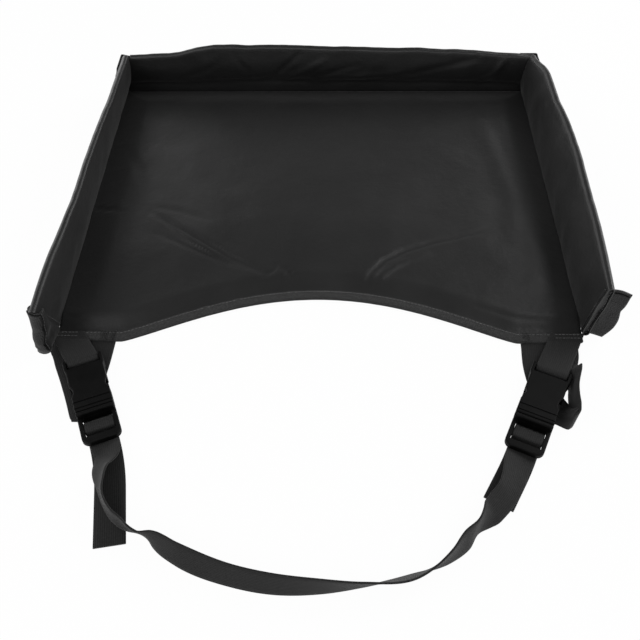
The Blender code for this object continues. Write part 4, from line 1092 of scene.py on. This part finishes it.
def tail_route(side):
    """Free tail from its cut end back to the ladder lock."""
    place = buckle_place(side)
    length, turn = TAILS[side]
    buckle_turn = BUCKLES[side][2]
    spot = place @ Vector((0, PLUG_END, WEB_THICK / 2))
    route = []
    count = 25
    for i in range(1, count + 1):
        angle = buckle_turn + (turn - buckle_turn) * min(2 * i / count, 1)
        spot = spot + Vector((-side * math.sin(angle), -math.cos(angle), 0)) * length / count
        route.append((spot, Vector((math.cos(angle), -side * math.sin(angle), 0)) * side))
    flip = place.to_3x3() @ Vector((1, 0, 0))
    return [(p, w if w.dot(flip) > 0 else -w) for p, w in reversed(route)]


def belts():
    """The belt: an end threaded through each ladder lock, and the span between in two halves."""
    leads = []
    for side in (-1, 1):
        place = buckle_place(side)
        # two points at the lock: flat inside its end, tilted where the belt has left it
        for extra, tilt in ((-2.3 * MM, 0), (12 * MM, 24)):
            spot = place @ Vector((0, PLUG_END + extra, 0))
            leads.append((spot.x, spot.y, tilt, PLY))
    free = [(x * MM, y * MM, tilt, level * PLY) for x, y, tilt, level in BELT_ROUTE]
    stations = tilted_stations(smooth_route(leads[:2] + free + leads[:1:-1], 14), BELT_WIDTH)
    middle = min(range(len(stations)), key=lambda i: abs(stations[i][0].x))
    for side, half in ((-1, stations[middle::-1]), (1, stations[middle:])):
        name = SIDE_NAMES[side]
        piece = strap(f"belt_span_{name}", "belt_span", half, BELT_WIDTH)
        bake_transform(piece)
        threaded = thin_out(tail_route(side) + ladder_route(side), 0.3 * MM)
        title, node, on = f"belt_end_webbing_{name}", f"belt_end_{name}", [f"buckle_plug_{name}"]
        end = strap(title, node, threaded, BELT_WIDTH, give=0.8 * MM)
        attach(end, f"plug_{name}")


# hanging loops: shares of their reach aside and ahead, tilt in degrees, plies below them
LOOP_ASIDE = 42 * MM
LOOP_AHEAD = 80 * MM
LEFT_LOWER = (
    (0.06, 0.0, 0, 0), (0.07, 0.2, 0, 0), (0.09, 0.4, 0, 0), (0.08, 0.6, 0, 0),
    (0.02, 0.86, 0, 0),
)
LEFT_UPPER = (
    (0.02, 0.86, 0, 1), (0.24, 0.59, 0, 1), (0.40, 0.41, 0, 1), (0.55, 0.25, 0, 1),
    (0.62, 0.17, 0, 0.95), (0.70, 0.09, 0, 0.3), (0.77, 0.0, 0, 0),
)
RIGHT_LOOP = (
    (0.1, 0.0, 0, 0), (0.07, 0.28, 0, 0), (0.11, 0.48, 0, 0), (0.2, 0.64, 0, 0),
    (0.3, 0.75, 6, 0), (0.35, 0.83, 45, 0), (0.4, 0.905, 90, 0), (0.46, 0.885, 92, 0),
    (0.5, 0.81, 95, 0), (0.51, 0.7, 97, 0), (0.54, 0.585, 98, 0), (0.58, 0.5, 101, 0),
    (0.6, 0.43, 110, 0), (0.55, 0.34, 152, 0.8), (0.54, 0.24, 176, 0.9), (0.6, 0.12, 178, 0.5),
    (0.64, 0.0, 180, 0),
)


def hanging_loops():
    """A webbing loop under each front corner: the left one lies folded, the right one on edge."""
    root_y = FRONT_Y - PLY_GAP - TAPE_THICK - 1.4 * MM
    for side, gap in ((-1, 4 * MM), (1, 4.5 * MM)):
        name = SIDE_NAMES[side]
        root_x = side * (abs(TAB_ROOTS[side]) - TAB_WIDTH / 2 - gap - HANG_WIDTH / 2)

        def laid_out(shares):
            """A smooth route through a loop's shares."""
            spots = [
                (root_x + side * a * LOOP_ASIDE, root_y - b * LOOP_AHEAD, tilt, level * PLY)
                for a, b, tilt, level in shares
            ]
            return smooth_route(spots, 10)

        if side > 0:
            stations = tilted_stations(laid_out(RIGHT_LOOP), HANG_WIDTH)
        else:
            lower, upper = [
                [(Vector((x, y, WEB_THICK / 2 + lift)), RIGHT) for x, y, _, lift in laid_out(part)]
                for part in (LEFT_LOWER, LEFT_UPPER)
            ]
            bend = []
            for i in range(1, 6):
                a = math.pi * i / 6
                turn = Vector((0, -PLY / 2 * math.sin(a), PLY / 2 - PLY / 2 * math.cos(a)))
                bend.append((lower[-1][0] + turn, RIGHT))
            stations = lower + bend + upper
        (first, way), (last, end_way) = stations[0], stations[-1]
        stations = [(first + Vector((0, 2.2 * MM, 0)), way)] + stations
        stations.append((last + Vector((0, 1.35 * MM, 0)), end_way))
        title, node = f"hanging_webbing_{name}", f"hanging_loop_{name}"
        loop = strap(title, node, stations, HANG_WIDTH, gap=0.25 * MM)
        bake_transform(loop)


# ---------------------------------------------------------------- the CAD nodes that stay
def dress_nodes():
    """Plain looks for the nodes that no cloth replaces."""
    looks = {
        "buckle_": ACETAL,
        "spring_arm": ACETAL,
        "base_board": BOARD,
        "base_foam": FOAM,
        "wall_": FOAM,
    }
    for name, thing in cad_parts.items():
        for start, look in looks.items():
            if name.startswith(start):
                for place in thing.material_slots:
                    place.material = look


# ---------------------------------------------------------------- camera, light and floor
def camera():
    """The photograph's viewpoint: 47 cm above the floor, looking 50 degrees down."""
    yaw, pitch, roll = math.radians(-1.748), math.radians(50.352), math.radians(-1.08)
    level = Vector((math.sin(yaw), math.cos(yaw), 0))
    ahead = level * math.cos(pitch) - UP * math.sin(pitch)
    right = Vector((math.cos(yaw), -math.sin(yaw), 0))
    up = right.cross(ahead)
    side = right * math.cos(roll) + up * math.sin(roll)
    top = up * math.cos(roll) - right * math.sin(roll)
    data = bpy.data.cameras.new("camera")
    data.sensor_width = 36
    data.lens = 43.98
    thing = bpy.data.objects.new("camera", data)
    spin = Matrix((side, top, -ahead)).transposed()
    thing.matrix_world = Matrix.Translation((0.0127, -0.5246, 0.4672)) @ spin.to_4x4()
    bpy.context.scene.collection.objects.link(thing)
    bpy.context.scene.camera = thing


# each lamp: its place, what it is aimed at, its width and height in metres, its watts
LAMPS = {
    "key softbox": ((0.95, 0.25, 1.0), (0.05, 0, 0), (0.6, 0.5), 6),
    "right strip": ((1.1, 0.85, 0.42), (-0.1, -0.05, 0.03), (1.3, 0.9), 6.5),
    "left strip": ((-1.0, 0.95, 0.42), (0.15, -0.02, 0.03), (1.3, 0.9), 5.5),
    "fill softbox": ((-0.8, -0.4, 0.9), (0, 0, 0), (0.8, 0.8), 4.2),
    "front softbox": ((0.1, -1.2, 0.9), (0, -0.1, 0), (1.0, 0.6), 4.5),
}


def lamp(name, place, aim, size, power):
    """A rectangular softbox."""
    data = bpy.data.lights.new(name, "AREA")
    data.shape = "RECTANGLE"
    data.size, data.size_y = size
    data.energy = power
    thing = bpy.data.objects.new(name, data)
    place = Vector(place)
    spin = (Vector(aim) - place).to_track_quat("-Z", "Y").to_matrix().to_4x4()
    thing.matrix_world = Matrix.Translation(place) @ spin
    bpy.context.scene.collection.objects.link(thing)


def white_floor():
    """A floor that the camera sees white, and that mirrors in the object less than it glows."""
    glow_share, mirrored_share = 0.97, 0.4
    bpy.ops.object.select_all(action="DESELECT")
    bpy.ops.mesh.primitive_plane_add(size=8, location=(0, 0, -0.4 * MM))
    floor = bpy.context.object
    floor.name = "floor"
    look, tree, _ = new_look("white studio floor")
    shader = tree.nodes["Principled BSDF"]
    set_inputs(tree, shader, {"Base Color": linear("#f2f2f2"), "Roughness": 0.9})
    rays = add(tree, "ShaderNodeLightPath").outputs
    share = rays["Is Glossy Ray"]
    for operation, other in (
        ("MULTIPLY", mirrored_share),
        ("MAXIMUM", rays["Is Camera Ray"]),
        ("MAXIMUM", rays["Is Transmission Ray"]),
        ("MULTIPLY", glow_share),
    ):
        share = add(tree, "ShaderNodeMath", {0: share, 1: other}, operation=operation).outputs[0]
    glow = add(tree, "ShaderNodeEmission", {"Color": (1, 1, 1, 1), "Strength": 1})
    both = add(tree, "ShaderNodeMixShader", {0: share, 1: shader.outputs[0], 2: glow.outputs[0]})
    set_inputs(tree, tree.nodes["Material Output"], {"Surface": both.outputs[0]})
    floor.data.materials.append(look)


def room():
    """A world that lights the object softly and that the camera sees white."""
    world = bpy.data.worlds.new("studio")
    world.use_nodes = True
    tree = world.node_tree
    tree.nodes.clear()
    seen = add(tree, "ShaderNodeLightPath").outputs["Is Camera Ray"]
    soft, white = [
        add(tree, "ShaderNodeBackground", {"Color": (1, 1, 1, 1), "Strength": strength}).outputs[0]
        for strength in (0.29, 1)
    ]
    both = add(tree, "ShaderNodeMixShader", {0: seen, 1: soft, 2: white})
    add(tree, "ShaderNodeOutputWorld", {"Surface": both.outputs[0]})
    bpy.context.scene.world = world


tray_cover()
under_cover()
front_tape()
wall_cover("wall_cover_rear", rear_wall(), "wall_rear", "wall_rear_cover")
for which, word in SIDE_NAMES.items():
    numbers = side_wall(which)
    wall_cover(f"wall_cover_{word}", numbers, f"wall_{word}", f"wall_{word}_cover")
    flaps(which, numbers)
    corner_pieces(which, numbers)
    strap_tab(which)
belts()
hanging_loops()
dress_nodes()
camera()
white_floor()
room()
for title, numbers in LAMPS.items():
    lamp(title, *numbers)
bpy.context.scene.view_settings.view_transform = "Standard"
